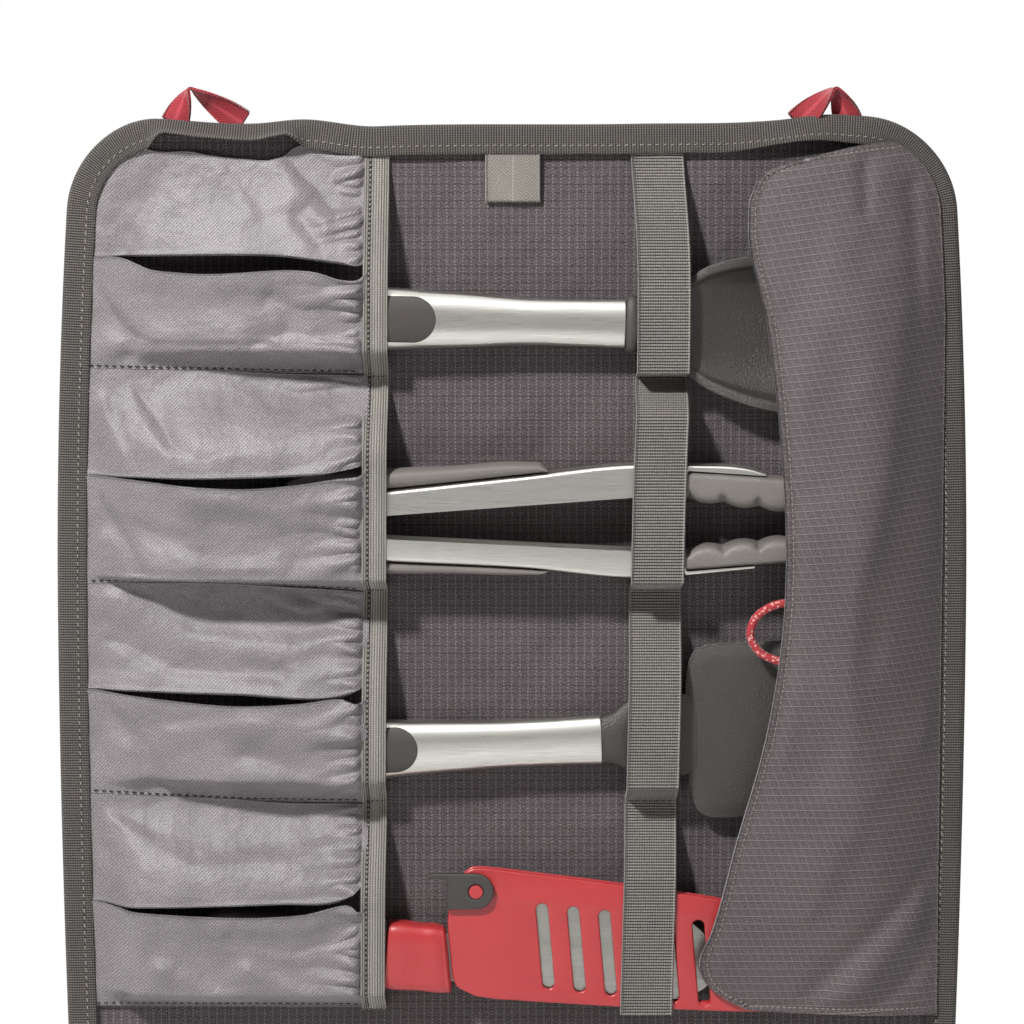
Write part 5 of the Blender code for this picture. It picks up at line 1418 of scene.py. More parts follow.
@dataclass
class Flap:
    """The side flap over the tool heads, its topstitching, and the cord loop sewn under it."""

    thick: float = 0.0012
    hinge_x: float = 0.2015
    axis_depth: float = 0.0035
    rise: float = 0.045
    lap: float = 0.0045
    top: float = -0.0262
    bottom: float = -0.4375
    heights: Points = ((-0.030, 0.0100), (-0.110, 0.0215), (-0.205, 0.0265), (-0.310, 0.0180), (-0.405, 0.0170),
                       (-0.440, 0.0120))
    edge: Points = ((-0.026, 0.1440), (-0.035, 0.1195), (-0.046, 0.1115), (-0.062, 0.1095), (-0.110, 0.1180),
                    (-0.150, 0.1230), (-0.268, 0.1245), (-0.307, 0.1180), (-0.352, 0.1055), (-0.395, 0.0940),
                    (-0.4105, 0.0885), (-0.4215, 0.0925), (-0.4380, 0.1120))
    folds: tuple = (
        (((0.163, -0.029), (0.163, -0.057)), -0.0016, 0.004), (((0.185, -0.047), (0.188, -0.104)), -0.0018, 0.005),
        (((0.198, -0.367), (0.141, -0.426)), -0.0022, 0.006), (((0.198, -0.409), (0.166, -0.440)), -0.0018, 0.005),
        (((0.195, -0.385), (0.150, -0.434)), 0.0030, 0.007, 0.012),
        (((0.177, -0.114), (0.170, -0.184), (0.156, -0.236), (0.155, -0.283)), 0.0042, 0.009, 0.034),
        (((0.150, -0.080), (0.135, -0.150)), 0.0014, 0.010), (((0.175, -0.270), (0.150, -0.330)), 0.0016, 0.010),
        (((0.196, -0.300), (0.165, -0.330), (0.140, -0.380)), 0.0020, 0.008, 0.020),
    )
    cord_diameter: float = 0.0038
    patch_x: float = 0.1475
    cord_start: float = patch_x - 0.0125 / 2 - GAP
    cord_room: float = 0.0006
    cad_thick: float = 0.0016
    stitch_inset: float = 0.0027

    def build(self) -> None:
        """Makes the flap, its stitches, the cord loop and the patch that holds it."""
        self.cloth()
        self.cord()
        self.patch()

    def depth(self, s: Array | float, z: Array | float) -> Array:
        """The flap's depth at a distance from its hinge: a quarter sine rise to its height there, then level."""
        return self.axis_depth + along(self.heights, z) * np.sin(math.pi / 2 * np.clip(s / self.rise, 0, 1))

    def grid(self, rows: int = 240, columns: int = 110) -> tuple[Array, Array]:
        """The flap's middle surface, rows from top to bottom and columns from the hinge to the free edge.

        Args:
            rows: how many rows.
            columns: how many columns.

        Returns:
            The points, and each point's distance from the nearest free edge.
        """
        ends = np.linspace(0, 0.03, 16)[:-1], np.linspace(0.97, 1, 17)[1:]
        v = np.concatenate([ends[0], np.linspace(0.03, 0.97, rows - 31), ends[1]])
        v, u = np.meshgrid(v, np.linspace(0, 1, columns), indexing="ij")
        z_mid = self.top + (self.bottom - self.top) * v
        right = np.minimum(self.hinge_x, LAYOUT.side_x(z_mid, LAYOUT.binding - self.lap))
        left = along(self.edge, z_mid)
        x = right + (left - right) * u
        z = z_mid - 0.0065 * (1 - v) ** 14 * u**1.5 + 0.0050 * v**40 * u
        depth = self.depth(right - x, z)
        length = self.top - self.bottom
        rim = np.minimum(np.minimum((1 - u) * (right - left), v * length), (1 - v) * length)
        calm = smooth_step(u / 0.12) * smooth_step(rim / 0.012)
        for route, height, *widths in self.folds:
            depth = depth + height * fold(x, z, route, *widths) * calm
        sway = np.sin(z * 55 + 3 * np.sin(x * 40)) * np.sin(x * 62 + z * 9)
        depth = depth + 0.0005 * (1 + sway) * calm
        roll = 0.0009 * bump_at(rim, 0.0008, 0.0012) * smooth_step(u / 0.08)
        return np.stack([x, front(depth + roll), z], 2), rim

    def cloth(self) -> None:
        """The flap's cloth with a turned edge, blended across its sewn line, and its topstitches."""
        points, rim = self.grid()
        turned = smooth_step((0.0042 - rim) / 0.0010)
        x, z = points[..., 0], points[..., 2]
        rise = 0.14 * (x - self.hinge_x) * smooth_step((z + 0.40) / 0.35)
        obj = cloth("flap_cloth", points, self.thick * (1 + 0.35 * turned), np.stack([x, z - rise], 2))
        coat(obj, FLAP_CLOTH)
        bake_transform(obj)
        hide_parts("flap")
        LOG.info("%s: %d faces on flap", obj.name, len(obj.data.polygons))
        inset, half = self.stitch_inset, len(rim) // 2
        columns = np.argmin(np.abs((rim - inset) + 10 * (np.arange(rim.shape[1]) < 40)), 1)
        rows = np.arange(len(points))
        middle = (rows > 12) & (rows < len(points) - 13)
        side = points[rows[middle], columns[middle]]
        top_row = int(np.argmin(np.abs(rim[:half, 60] - inset)))
        bottom_row = len(rim) - 1 - int(np.argmin(np.abs(rim[::-1][:half, 60] - inset)))
        top = points[top_row, 8 : columns[top_row + 12] - 1]
        bottom = points[bottom_row, 8 : columns[bottom_row - 12] - 1][::-1]
        path = resample(np.concatenate([top, side, bottom]), 900) + np.array([0, -self.thick * 0.62, 0])
        stitch = Stitch(thread=0.00060, length=0.0018, pitch=0.0026)
        # The needle holes are dressed in the dark thread as painted shade.
        thread, holes = stitch.sew("flap_topstitches", path), stitch.punch("flap_needle_hole_shade", path)
        for row, finish in ((thread, THREAD), (holes, DARK_THREAD_AND_HOLE_SHADE)):
            coat(row, finish)
            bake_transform(row)

    def under(self, height: Array, below: Array | float) -> Array:
        """The depth of a point this far below the flap's underside, beside the patch."""
        return self.depth(self.hinge_x - self.patch_x, height) - self.cad_thick / 2 - self.cord_room - below

    def cord(self) -> None:
        """The cord loop: a round braided cord that leaves the patch, shows past the flap's edge and returns."""
        start = self.cord_start
        route = np.array([
            (start, 0, -0.2432), (start - 0.0040, 0, -0.2428), (0.1283, 0.0005, -0.2393),
            (0.1208, 0.0015, -0.2406), (0.1137, 0.0030, -0.2458), (0.1109, 0.0038, -0.2533),
            (0.1128, 0.0036, -0.2594), (0.1175, 0.0026, -0.2641), (0.1269, 0.0010, -0.2669),
            (start - 0.0040, 0, -0.2640), (start, 0, -0.2632),
        ])
        radius = self.cord_diameter / 2
        route[:, 1] = front(self.under(route[:, 2], radius) - route[:, 1])
        steps = np.linspace(0, len(route) - 1, 120)
        table = np.column_stack([np.arange(len(route)), route])
        path = np.stack([column(table, k, steps) for k in (1, 2, 3)], 1)
        turn = np.arange(20) * math.tau / 20
        run = arc_length(path)
        twist = run[:, None] * 2600
        wound = radius * (1 + 0.06 * np.sin(3 * turn + twist) * np.sin(3 * turn - twist))
        section = np.stack([wound * np.cos(turn), wound * np.sin(turn)], 2)
        obj = sweep("cord_loop_braid", path, section, TO_FRONT)
        dress(obj, RED_CORD, "flap", "cord_loop")

    def patch(self) -> None:
        """The webbing patch under the flap."""
        low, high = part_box("cord_patch")
        uv = pairs(np.linspace(low.z + 0.001, high.z - 0.001, 30), np.linspace(low.x, high.x, 14))
        v, u = uv[..., 0], uv[..., 1]
        points = np.stack([u, front(self.under(v, 0.0009)), v], 2)
        dress(cloth("cord_patch_webbing", points, 0.0014, uv), WEBBING, "flap", "cord_patch")


@dataclass
class Tool:
    """A tool's place: where its origin lies, its tilt in radians, and the body that it rides on."""

    at: Place
    tilt: float
    body: str

    def placed(self, points: Array) -> Array:
        """Turns points by the tool's tilt, its x axis tipping down, and moves them to their place.

        Args:
            points: points from the tool's origin.

        Returns:
            The points in the model.
        """
        x, y, z = points[..., 0], points[..., 1], points[..., 2]
        cos, sin = math.cos(self.tilt), math.sin(self.tilt)
        return np.stack([self.at[0] + x * cos + z * sin, self.at[1] + y, self.at[2] - x * sin + z * cos], -1)

    def add(self, name: str, rings: Array, finish: Finish, node: str) -> None:
        """Makes a solid through rings of the tool's own points, in place of a CAD node."""
        dress(solid(name, self.placed(rings)), finish, self.body, node)

    def move(self, obj: Obj, y: float = 0.0) -> None:
        """Puts a mesh of the tool's own points in its place, moved by y.

        Args:
            obj: the piece.
            y: how far back it goes first.
        """
        points = np.empty(len(obj.data.vertices) * 3, np.float32)
        obj.data.vertices.foreach_get("co", points)
        points = points.reshape(-1, 3).astype(float) + np.array([0, y, 0])
        obj.data.vertices.foreach_set("co", self.placed(points).astype(np.float32).ravel())
        obj.data.update()


def bar(stations: Sequence[tuple], power: float, count: int, sides: int) -> Array:
    """Rings of a bar along x through stations of half width, half thickness, centre height, depth and dish.

    Each section is a superellipse: the cosine and sine of the turn raised to 2 over the power. The dish sinks
    the middle below the rims by 1 minus the square of the distance across.

    Args:
        stations: rows of x, half width, half thickness, centre z, depth and dish.
        power: the superellipse's power; 2 is an ellipse.
        count: how many rings.
        sides: points of each ring.

    Returns:
        The rings, their depth as negative y.
    """
    table = np.array(stations, float)
    turn = np.linspace(0, 1, count)
    x = np.interp((1 - np.cos(turn * math.pi)) / 2 * 0.5 + turn * 0.5, np.linspace(0, 1, len(table)), table[:, 0])
    half, thick, z, depth, dish = (column(table, k, x)[:, None] for k in range(1, 6))
    cos, sin = circle(sides)
    across = half * signed_power(cos, 2 / power)
    deep = thick * signed_power(sin, 2 / power)
    sunk = dish * (1 - (across / half) ** 2)
    return np.stack([x[:, None] + 0 * across, -(depth + deep - sunk), z + across], 2)


@dataclass
class Handle(Tool):
    """A flattened steel handle with a round end and a soft plug let into its front."""

    end: float
    tip: float
    half: float
    waist: float
    plug_end: float
    power: float = 2.6
    thick: float = 0.0070
    plug_half: float = 0.0108
    inset: float = 0.0035

    def stations(self) -> list[tuple]:
        """Stations from the rounded end to the neck.

        Returns:
            Rows as bar takes them.
        """
        ends = ((0, 0.30, 0.25), (0.0006, 0.50, 0.48), (0.0018, 0.72, 0.70), (0.004, 0.90, 0.88), (0.009, 1, 1))
        rows = [(self.end + back, self.half * share, deep) for back, share, deep in ends]
        rows += [
            (self.plug_end, self.half, 1), (self.plug_end + 0.016, self.half * 0.95, 0.97),
            (self.plug_end + 0.040, self.waist * 1.01, 0.92), (self.tip - 0.020, self.waist, 0.88),
            (self.tip, self.waist * 1.03, 0.86),
        ]
        return [(x, half, self.thick * deep, 0, 0, 0) for x, half, deep in rows]

    def front_of(self, x: Array, z: Array) -> Array:
        """The handle's front at points on it, from the same superellipse."""
        half, thick = (column(self.stations(), k, x) for k in (1, 2))
        return thick * np.clip(1 - (np.abs(z) / half) ** self.power, 0, 1) ** (1 / self.power)

    def build(self) -> None:
        """Makes the handle and its plug."""
        rings = bar(self.stations(), self.power, 150, 72)
        self.add(f"{self.body}_handle_steel", rings, BRUSHED, f"{self.body}_handle")
        self.plug()

    def plug(self) -> None:
        """The plug: a stadium outline filled by shrinking rings, each standing on the handle's front.

        From the outline inwards the height over the steel rises by a quarter circle from a thin groove.
        """
        turn = np.linspace(-math.pi / 2, math.pi / 2, 36)
        near, centre = self.end + self.inset, self.plug_end - self.plug_half
        corner, back_top = 0.0035, np.linspace(math.pi / 2, math.pi, 10)
        high = self.plug_half - corner
        back = np.stack([near + corner + corner * np.cos(back_top), high + corner * np.sin(back_top)], 1)
        foot = back[::-1] * np.array([1, -1])
        nose = np.stack([centre + self.plug_half * np.cos(turn), self.plug_half * np.sin(turn)], 1)
        loop = space_loop(np.concatenate([nose, back, foot]), 120)
        heart = np.array([(near + self.plug_end) / 2, 0.0])
        share = np.concatenate([[0.985, 0.995, 1.0], 1 - np.linspace(0, 1, 26)[1:-1] ** 1.6, [0.02]])
        lift = np.concatenate([[-0.0016, -0.0008, -0.0002], 0.0002 * smooth_step(np.linspace(0, 1, 26)[1:] * 4)])
        flat = heart + (loop - heart) * share[:, None, None]
        y = -(self.front_of(flat[..., 0], flat[..., 1]) + lift[:, None])
        rings = np.stack([flat[..., 0], y, flat[..., 1]], 2)
        base = rings[:1].copy()
        base[..., 1] += 0.001
        self.add(f"{self.body}_plug_rubber", np.concatenate([base, rings]), RUBBER, f"{self.body}_plug")


@dataclass
class Spoon(Tool):
    """The serving spoon: steel handle, collar and nylon head."""

    at: Place = (STRAP_RIGHT, -0.0117, -0.1108)
    tilt: float = math.radians(1.3)
    body: str = "spoon"
    tip: float = -0.0273
    bowl: tuple = (
        (-0.0213, 0.0112, 0.0056, 0, 0.0, 0.0), (-0.0130, 0.0132, 0.0048, 0, 0.0, 0.0),
        (-0.0040, 0.0155, 0.0038, 0, 0.0010, 0.0008), (0.0030, 0.0232, 0.0026, -0.0002, 0.0025, 0.0030),
        (0.0090, 0.0275, 0.0019, -0.0004, 0.0045, 0.0060), (0.0170, 0.0308, 0.0014, -0.0008, 0.0062, 0.0093),
        (0.0270, 0.0338, 0.0014, -0.0014, 0.0070, 0.0118), (0.0380, 0.0359, 0.0014, -0.0020, 0.0072, 0.0130),
        (0.0490, 0.0372, 0.0014, -0.0026, 0.0070, 0.0128), (0.0590, 0.0375, 0.0014, -0.0030, 0.0062, 0.0112),
        (0.0680, 0.0345, 0.0014, -0.0030, 0.0048, 0.0086), (0.0750, 0.0283, 0.0014, -0.0028, 0.0032, 0.0054),
        (0.0800, 0.0200, 0.0012, -0.0026, 0.0018, 0.0026), (0.0825, 0.0115, 0.0009, -0.0025, 0.0010, 0.0010),
        (0.0830, 0.0060, 0.0006, -0.0025, 0.0006, 0.0003),
    )
    rim: float = 0.0042
    steep: float = 3.2

    def build(self) -> None:
        """Makes the handle, the collar and the head."""
        Handle(self.at, self.tilt, self.body, -0.1636, self.tip, half=0.0132, waist=0.0109, plug_end=-0.115).build()
        start = self.tip + GAP
        collar = ((0, 0.0118, 0.0060), (0.0005, 0.0128, 0.0068), (0.0012, 0.0133, 0.0072), (0.0045, 0.0133, 0.0072),
                  (0.0052, 0.0129, 0.0069), (0.0057, 0.0120, 0.0062))
        rings = bar([(start + x, w, t, 0, 0, 0) for x, w, t in collar], 2.6, 24, 64)
        self.add("spoon_collar_rubber", rings, RUBBER, "spoon_collar")
        self.add("spoon_head_nylon", self.head(), NYLON, "spoon_head")

    def head(self) -> Array:
        """The head: an elliptical bar that spreads into a dished bowl, with a flat rim 4 mm wide.

        The dish falls with the distance from its middle to the power 3.2, which makes its walls steep.

        Returns:
            The rings.
        """
        sides = 96
        rings = bar(self.bowl, 2.0, 150, sides)
        half, centre, dish = (column(self.bowl, k, rings[:, :1, 0]) for k in (1, 3, 5))
        across = np.abs(rings[..., 2] - centre) / half
        inner = np.clip(1 - self.rim / half, 0.5, 1)
        rings[..., 1] += dish * (across**2 - across**self.steep)
        flat_rim = dish * (1 - across**self.steep) * smooth_step((across - inner + 0.07) / 0.07)
        rings[..., 1] -= 0.72 * flat_rim * (circle(sides)[1] > 0)
        return rings


@dataclass
class Turner(Tool):
    """The turner: steel handle and a nylon head with a neck and a bevelled blade."""

    at: Place = (STRAP_RIGHT, -0.0117, -0.3036)
    tilt: float = math.radians(-2.4)
    body: str = "turner"
    tip: float = -0.038
    start: float = 0.0015
    length: float = 0.079
    height: float = 0.083
    thick: float = 0.0022

    def build(self) -> None:
        """Makes the handle, the blade and its neck."""
        Handle(self.at, self.tilt, self.body, -0.164, self.tip, half=0.0128, waist=0.0111, plug_end=-0.124).build()
        self.add("turner_blade_nylon", self.blade(), NYLON, "turner_head")
        neck = (
            (self.tip + GAP, 0.0116, 0.0061, 0, 0.0, 0), (-0.0330, 0.0124, 0.0060, 0.0004, 0.0, 0),
            (-0.0254, 0.0168, 0.0054, 0.0012, -0.0002, 0), (-0.0120, 0.0190, 0.0042, 0.0010, -0.0008, 0),
            (-0.0020, 0.0196, 0.0029, 0.0006, -0.0014, 0), (0.0030, 0.0190, 0.0018, 0.0006, -0.0018, 0),
            (0.0080, 0.0172, 0.0009, 0.0004, -0.0020, 0),
        )
        self.add("turner_neck_nylon", bar(neck, 2.6, 90, 56), NYLON, "turner_head")

    def blade(self) -> Array:
        """The blade: its outline shrunk in rings, front and back, with a bevelled band round its front.

        The outline is a superellipse-cornered rectangle whose left side bows in towards the corners.

        Returns:
            The rings.
        """
        count, power = 240, 2 / 9
        x, z = (signed_power(value, power) for value in circle(count))
        bow = np.where(x < 0, -0.0035 * z**2 * x, 0)
        loop = space_loop(np.stack([x * self.length / 2 + bow, z * self.height / 2], 1), count)
        rounds = np.linspace(0, math.pi, 9)
        edge = 1 - 0.0011 * (1 - np.sin(rounds)) / (self.height / 2)
        y_edge = self.thick / 2 * np.cos(rounds) + 0.0009 * (np.cos(rounds) < 0) * np.abs(np.cos(rounds))
        front_y = -self.thick / 2
        share = np.concatenate([[0.01, 0.5], edge, [0.95, 0.86, 0.84, 0.82, 0.5, 0.01]])
        y = np.concatenate([[self.thick / 2] * 2, y_edge, [front_y + 0.0006, front_y + 0.0001, front_y + 0.00002],
                            [front_y] * 3])
        centre = np.array([self.start + self.length / 2, 0.0015])
        flat = centre + loop * share[:, None, None]
        return np.stack([flat[..., 0], 0.0020 + y[:, None] + 0 * flat[..., 0], flat[..., 1]], 2)


@dataclass(frozen=True)
class Arm:
    """One arm of the tongs, in u along them and v up, from the pivot.

    Side is 1 where the web is above and -1 where it is below. The web follows the outer points and the
    flanges' free edge the inner ones, and width goes across both flanges. The grip's thickness is a share of
    the upper one's. The head lies between its back and a gripping edge from neck to tip.
    """

    node: str
    body: str
    side: int
    width: float
    grip_share: float
    outer: Points
    inner: Points
    back: Points
    neck: tuple[float, float]
    tip: tuple[float, float]


ARMS = (
    Arm("tongs_upper", "tongs_upper", 1, 0.0172, 1.0,
        ((-0.0100, 0.0040), (-0.0088, 0.0084), (-0.0050, 0.0106), (0.0682, 0.0179), (0.1300, 0.0246),
         (0.1810, 0.0301), (0.1950, 0.0304), (0.2063, 0.0298), (0.2390, 0.0272), (0.2435, 0.0256)),
        ((-0.0100, 0.0010), (-0.0088, -0.0030), (-0.0050, -0.0060), (0.0090, -0.0048), (0.0682, 0.0063),
         (0.1810, 0.0146), (0.1990, 0.0150), (0.2040, 0.0180), (0.2075, 0.0272), (0.2435, 0.0248)),
        ((0.2070, 0.0270), (0.2440, 0.0247), (0.2560, 0.0236), (0.2680, 0.0214), (0.2780, 0.0170),
         (0.2838, 0.0112)),
        neck=(0.2036, 0.0128), tip=(0.2838, 0.0075)),
    Arm("tongs_lower", "tongs", -1, 0.0200, 0.62,
        ((-0.0100, -0.0040), (-0.0088, -0.0084), (-0.0050, -0.0106), (0.0682, -0.0150), (0.1330, -0.0182),
         (0.1810, -0.0226), (0.1950, -0.0224), (0.2060, -0.0214), (0.2385, -0.0181)),
        ((-0.0100, -0.0010), (-0.0088, 0.0030), (-0.0050, 0.0060), (0.0090, 0.0045), (0.0682, -0.0045),
         (0.1810, -0.0099), (0.1990, -0.0096), (0.2040, -0.0130), (0.2070, -0.0196), (0.2385, -0.0171)),
        ((0.2070, -0.0194), (0.2400, -0.0170), (0.2515, -0.0162), (0.2660, -0.0145), (0.2780, -0.0112),
         (0.2838, -0.0068)),
        neck=(0.2036, -0.0085), tip=(0.2838, -0.0040)),
)


@dataclass
class Tongs:
    """Locking tongs: two steel channel arms, soft grips and scalloped nylon heads, with spring, pin and lock."""

    pivot: Place = (-0.1260, -0.0142, -0.2049)
    wall: float = 0.0010
    grip_half: float = 0.0095
    grip_shape: Points = ((0.0220, 0.0040), (0.0300, 0.0080), (0.0450, 0.0095), (0.0682, 0.0094), (0.0978, 0.0074),
                          (0.1340, 0.0052), (0.1400, 0.0038), (0.1424, 0.0014))
    head_half: float = 0.0100
    notch_start: float = 0.0097
    notch_pitch: float = 0.0165

    def build(self) -> None:
        """Makes both arms with their grips and heads, and dresses the pin, the spring and the lock."""
        for make in (self.channel, self.grip, self.head):
            for arm in ARMS:
                make(arm)
        for node, finish in (("tongs_pivot_pin", BRUSHED), ("tongs_spring", GROUND), ("tongs_lock_tab", RUBBER)):
            redress(node, finish)

    def add(self, arm: Arm, part: str, kind: str, finish: Finish, u: Array, y: Array, v: Array) -> Obj:
        """Makes a part of an arm from rings.

        Args:
            arm: the arm.
            part: the last word of its CAD node's name.
            kind: the material's name, for the piece's name.
            finish: its finish.
            u: each ring's place along the tongs.
            y: its points' depth, from the pivot.
            v: their height over the pivot.

        Returns:
            The piece.
        """
        x, rise = np.broadcast_arrays(u[:, None], y)
        rings = np.stack([self.pivot[0] + x, self.pivot[1] + rise, self.pivot[2] + v], -1)
        return dress(solid(f"{arm.node}_{part}_{kind}", rings), finish, arm.body, f"{arm.node}_{part}")

    def channel(self, arm: Arm) -> None:
        """An arm: a U section, web outside and flanges to the inner edge, carried along the arm.

        The section runs down one flange's outside, round the web with a 2.2 mm corner, up the other flange and
        back inside, one wall in.

        Args:
            arm: the arm.
        """
        u = np.concatenate([np.linspace(arm.outer[0][0], 0.0, 20)[:-1], np.linspace(0.0, 0.1950, 120)[:-1],
                            np.linspace(0.1950, arm.outer[-1][0], 60)])
        far, near = along(arm.outer, u), np.interp(u, *np.array(arm.inner).T)
        tall = np.abs(far - near)
        half, hollow = arm.width / 2, arm.width / 2 - self.wall
        turn = np.linspace(0, math.pi / 2, 7)

        def corner(radius: float, out: float, high: Array) -> tuple[Array, Array]:
            """A quarter circle of the section, from flange to web."""
            size = np.minimum(radius, 0.45 * high)[:, None]
            return out - size + size * np.cos(turn), high[:, None] - size + size * np.sin(turn)

        y_out, w_out = corner(0.0022, half, tall)
        y_in, w_in = corner(0.0012, hollow, np.maximum(tall - self.wall, 0.1 * tall))
        zero, edge = 0 * u[:, None], np.ones_like(u)[:, None]
        ys = [-half * edge, -y_out, y_out[:, ::-1], half * edge, hollow * edge, y_in, -y_in[:, ::-1], -hollow * edge]
        ws = [zero, w_out, w_out[:, ::-1], zero, zero, w_in, w_in[:, ::-1], zero]
        v = near[:, None] + arm.side * np.concatenate(ws, 1)
        obj = self.add(arm, "arm", "steel", BRUSHED, u, np.concatenate(ys, 1), v)
        obj.data.set_sharp_from_angle(angle=math.radians(35))

    def grip(self, arm: Arm) -> None:
        """A grip pad: a rounded section on the arm's outer side, thick by the thumb recess and thin at its end.

        Args:
            arm: the arm.
        """
        start, end = self.grip_shape[0][0], self.grip_shape[-1][0]
        u = start + (end - start) * (1 - np.cos(np.linspace(0, math.pi, 130))) / 2
        thick = along(self.grip_shape, u) * arm.grip_share
        cos, sin = circle(48)
        power = 2 / 2.6
        w = thick[:, None] * (0.5 + 0.5 * signed_power(sin, power))
        recess = 0.0009 * bump_at(u, 0.104, 0.020)[:, None] * np.clip(-cos, 0, 1) ** 3
        y = self.grip_half * signed_power(cos, power) + recess
        self.add(arm, "grip", "rubber", GREY_RUBBER, u, y, along(arm.outer, u)[:, None] + arm.side * (GAP + w))

    def head(self, arm: Arm) -> None:
        """A nylon head: a rounded rectangle between its back and its scalloped gripping edge.

        The gripping edge is a smooth curve from neck to tip, less 2 mm of a half sine, with the absolute value
        of a sine for its scallops, which also notch the faces beside that edge.

        Args:
            arm: the arm.
        """
        neck, tip, side = arm.neck, arm.tip, arm.side
        u = neck[0] + (tip[0] - neck[0]) * np.sin(np.linspace(0, math.pi / 2, 150))
        t = (u - neck[0]) / (tip[0] - neck[0])
        wave = np.abs(np.sin(math.pi * (u - self.notch_start) / self.notch_pitch))
        grip = neck[1] + (tip[1] - neck[1]) * smooth_step(t) - side * 0.0020 * np.sin(math.pi * t)
        grip = grip + side * 0.0019 * (1 - wave)
        spine = along(arm.back, u)
        close = np.sqrt(np.clip(1 - ((u - 0.2780) / 0.0058).clip(0, 1) ** 2, 0.02, 1))
        middle, half = (grip + spine) / 2, np.abs(spine - grip) / 2 * close
        cos, sin = circle(64)
        pinch = 1 - 0.30 * np.exp(-((wave / 0.35) ** 2))[:, None] * smooth_step(-side * sin / 0.8)
        y = self.head_half * signed_power(cos, 2 / 3) * pinch
        v = middle[:, None] + half[:, None] * signed_power(sin, np.where(side * sin > 0, 2 / 7, 2 / 3))
        self.add(arm, "head", "nylon", GREY_NYLON, u, y, v)


def plate(name: str, loops: list[Array], thick: float, round_edge: float) -> Obj:
    """A flat plate with rounded edges and holes, from outlines in x and z, its middle at y 0.

    A filled 2D curve is extruded by half the thickness less the rounding and bevelled by the rounding, which
    makes a closed mesh once its doubles are merged.

    Args:
        name: the piece's name.
        loops: the outline and then its holes, each n by 2.
        thick: the plate's thickness.
        round_edge: the radius of its edges.

    Returns:
        The mesh object.
    """
    curve = bpy.data.curves.new(name, "CURVE")
    curve.dimensions = "2D"
    curve.fill_mode = "BOTH"
    curve.extrude = thick / 2 - round_edge
    curve.bevel_depth = round_edge
    curve.bevel_resolution = 4
    curve.offset = -round_edge
    for loop in loops:
        spline = curve.splines.new("POLY")
        spline.points.add(len(loop) - 1)
        spline.points.foreach_set("co", np.column_stack([loop, 0 * loop[:, :1], np.ones(len(loop))]).ravel())
        spline.use_cyclic_u = True
    helper = add_object(name, curve)
    data = bpy.data.meshes.new_from_object(helper.evaluated_get(bpy.context.evaluated_depsgraph_get()))
    bpy.data.objects.remove(helper, do_unlink=True)
    bpy.data.curves.remove(curve)
    points = np.empty(len(data.vertices) * 3, np.float32)
    data.vertices.foreach_get("co", points)
    points = points.reshape(-1, 3).astype(float)
    kept, index = np.unique(np.round(points, 6), axis=0, return_inverse=True)
    faces = [list(dict.fromkeys(index.ravel()[list(polygon.vertices)].tolist())) for polygon in data.polygons]
    faces = [face for face in faces if len(face) > 2]
    bpy.data.meshes.remove(data)
    obj = add_mesh(name, kept[:, [0, 2, 1]] * np.array([1, -1, 1]), faces)
    obj.data.set_sharp_from_angle(angle=math.radians(50))
    return obj


def smooth_loop(points: Points, count: int, passes: int = 2) -> Array:
    """Rounds a closed outline by cutting 15% of each side off its corners, and spaces its points evenly.

    Args:
        points: the outline's corners.
        count: how many points it gets.
        passes: how many times the corners are cut.

    Returns:
        The points, the last one not repeating the first.
    """
    loop = np.array(points, float)
    for _ in range(passes):
        after = np.roll(loop, -1, 0)
        loop = np.stack([0.85 * loop + 0.15 * after, 0.15 * loop + 0.85 * after], 1).reshape(-1, 2)
    return space_loop(loop, count)


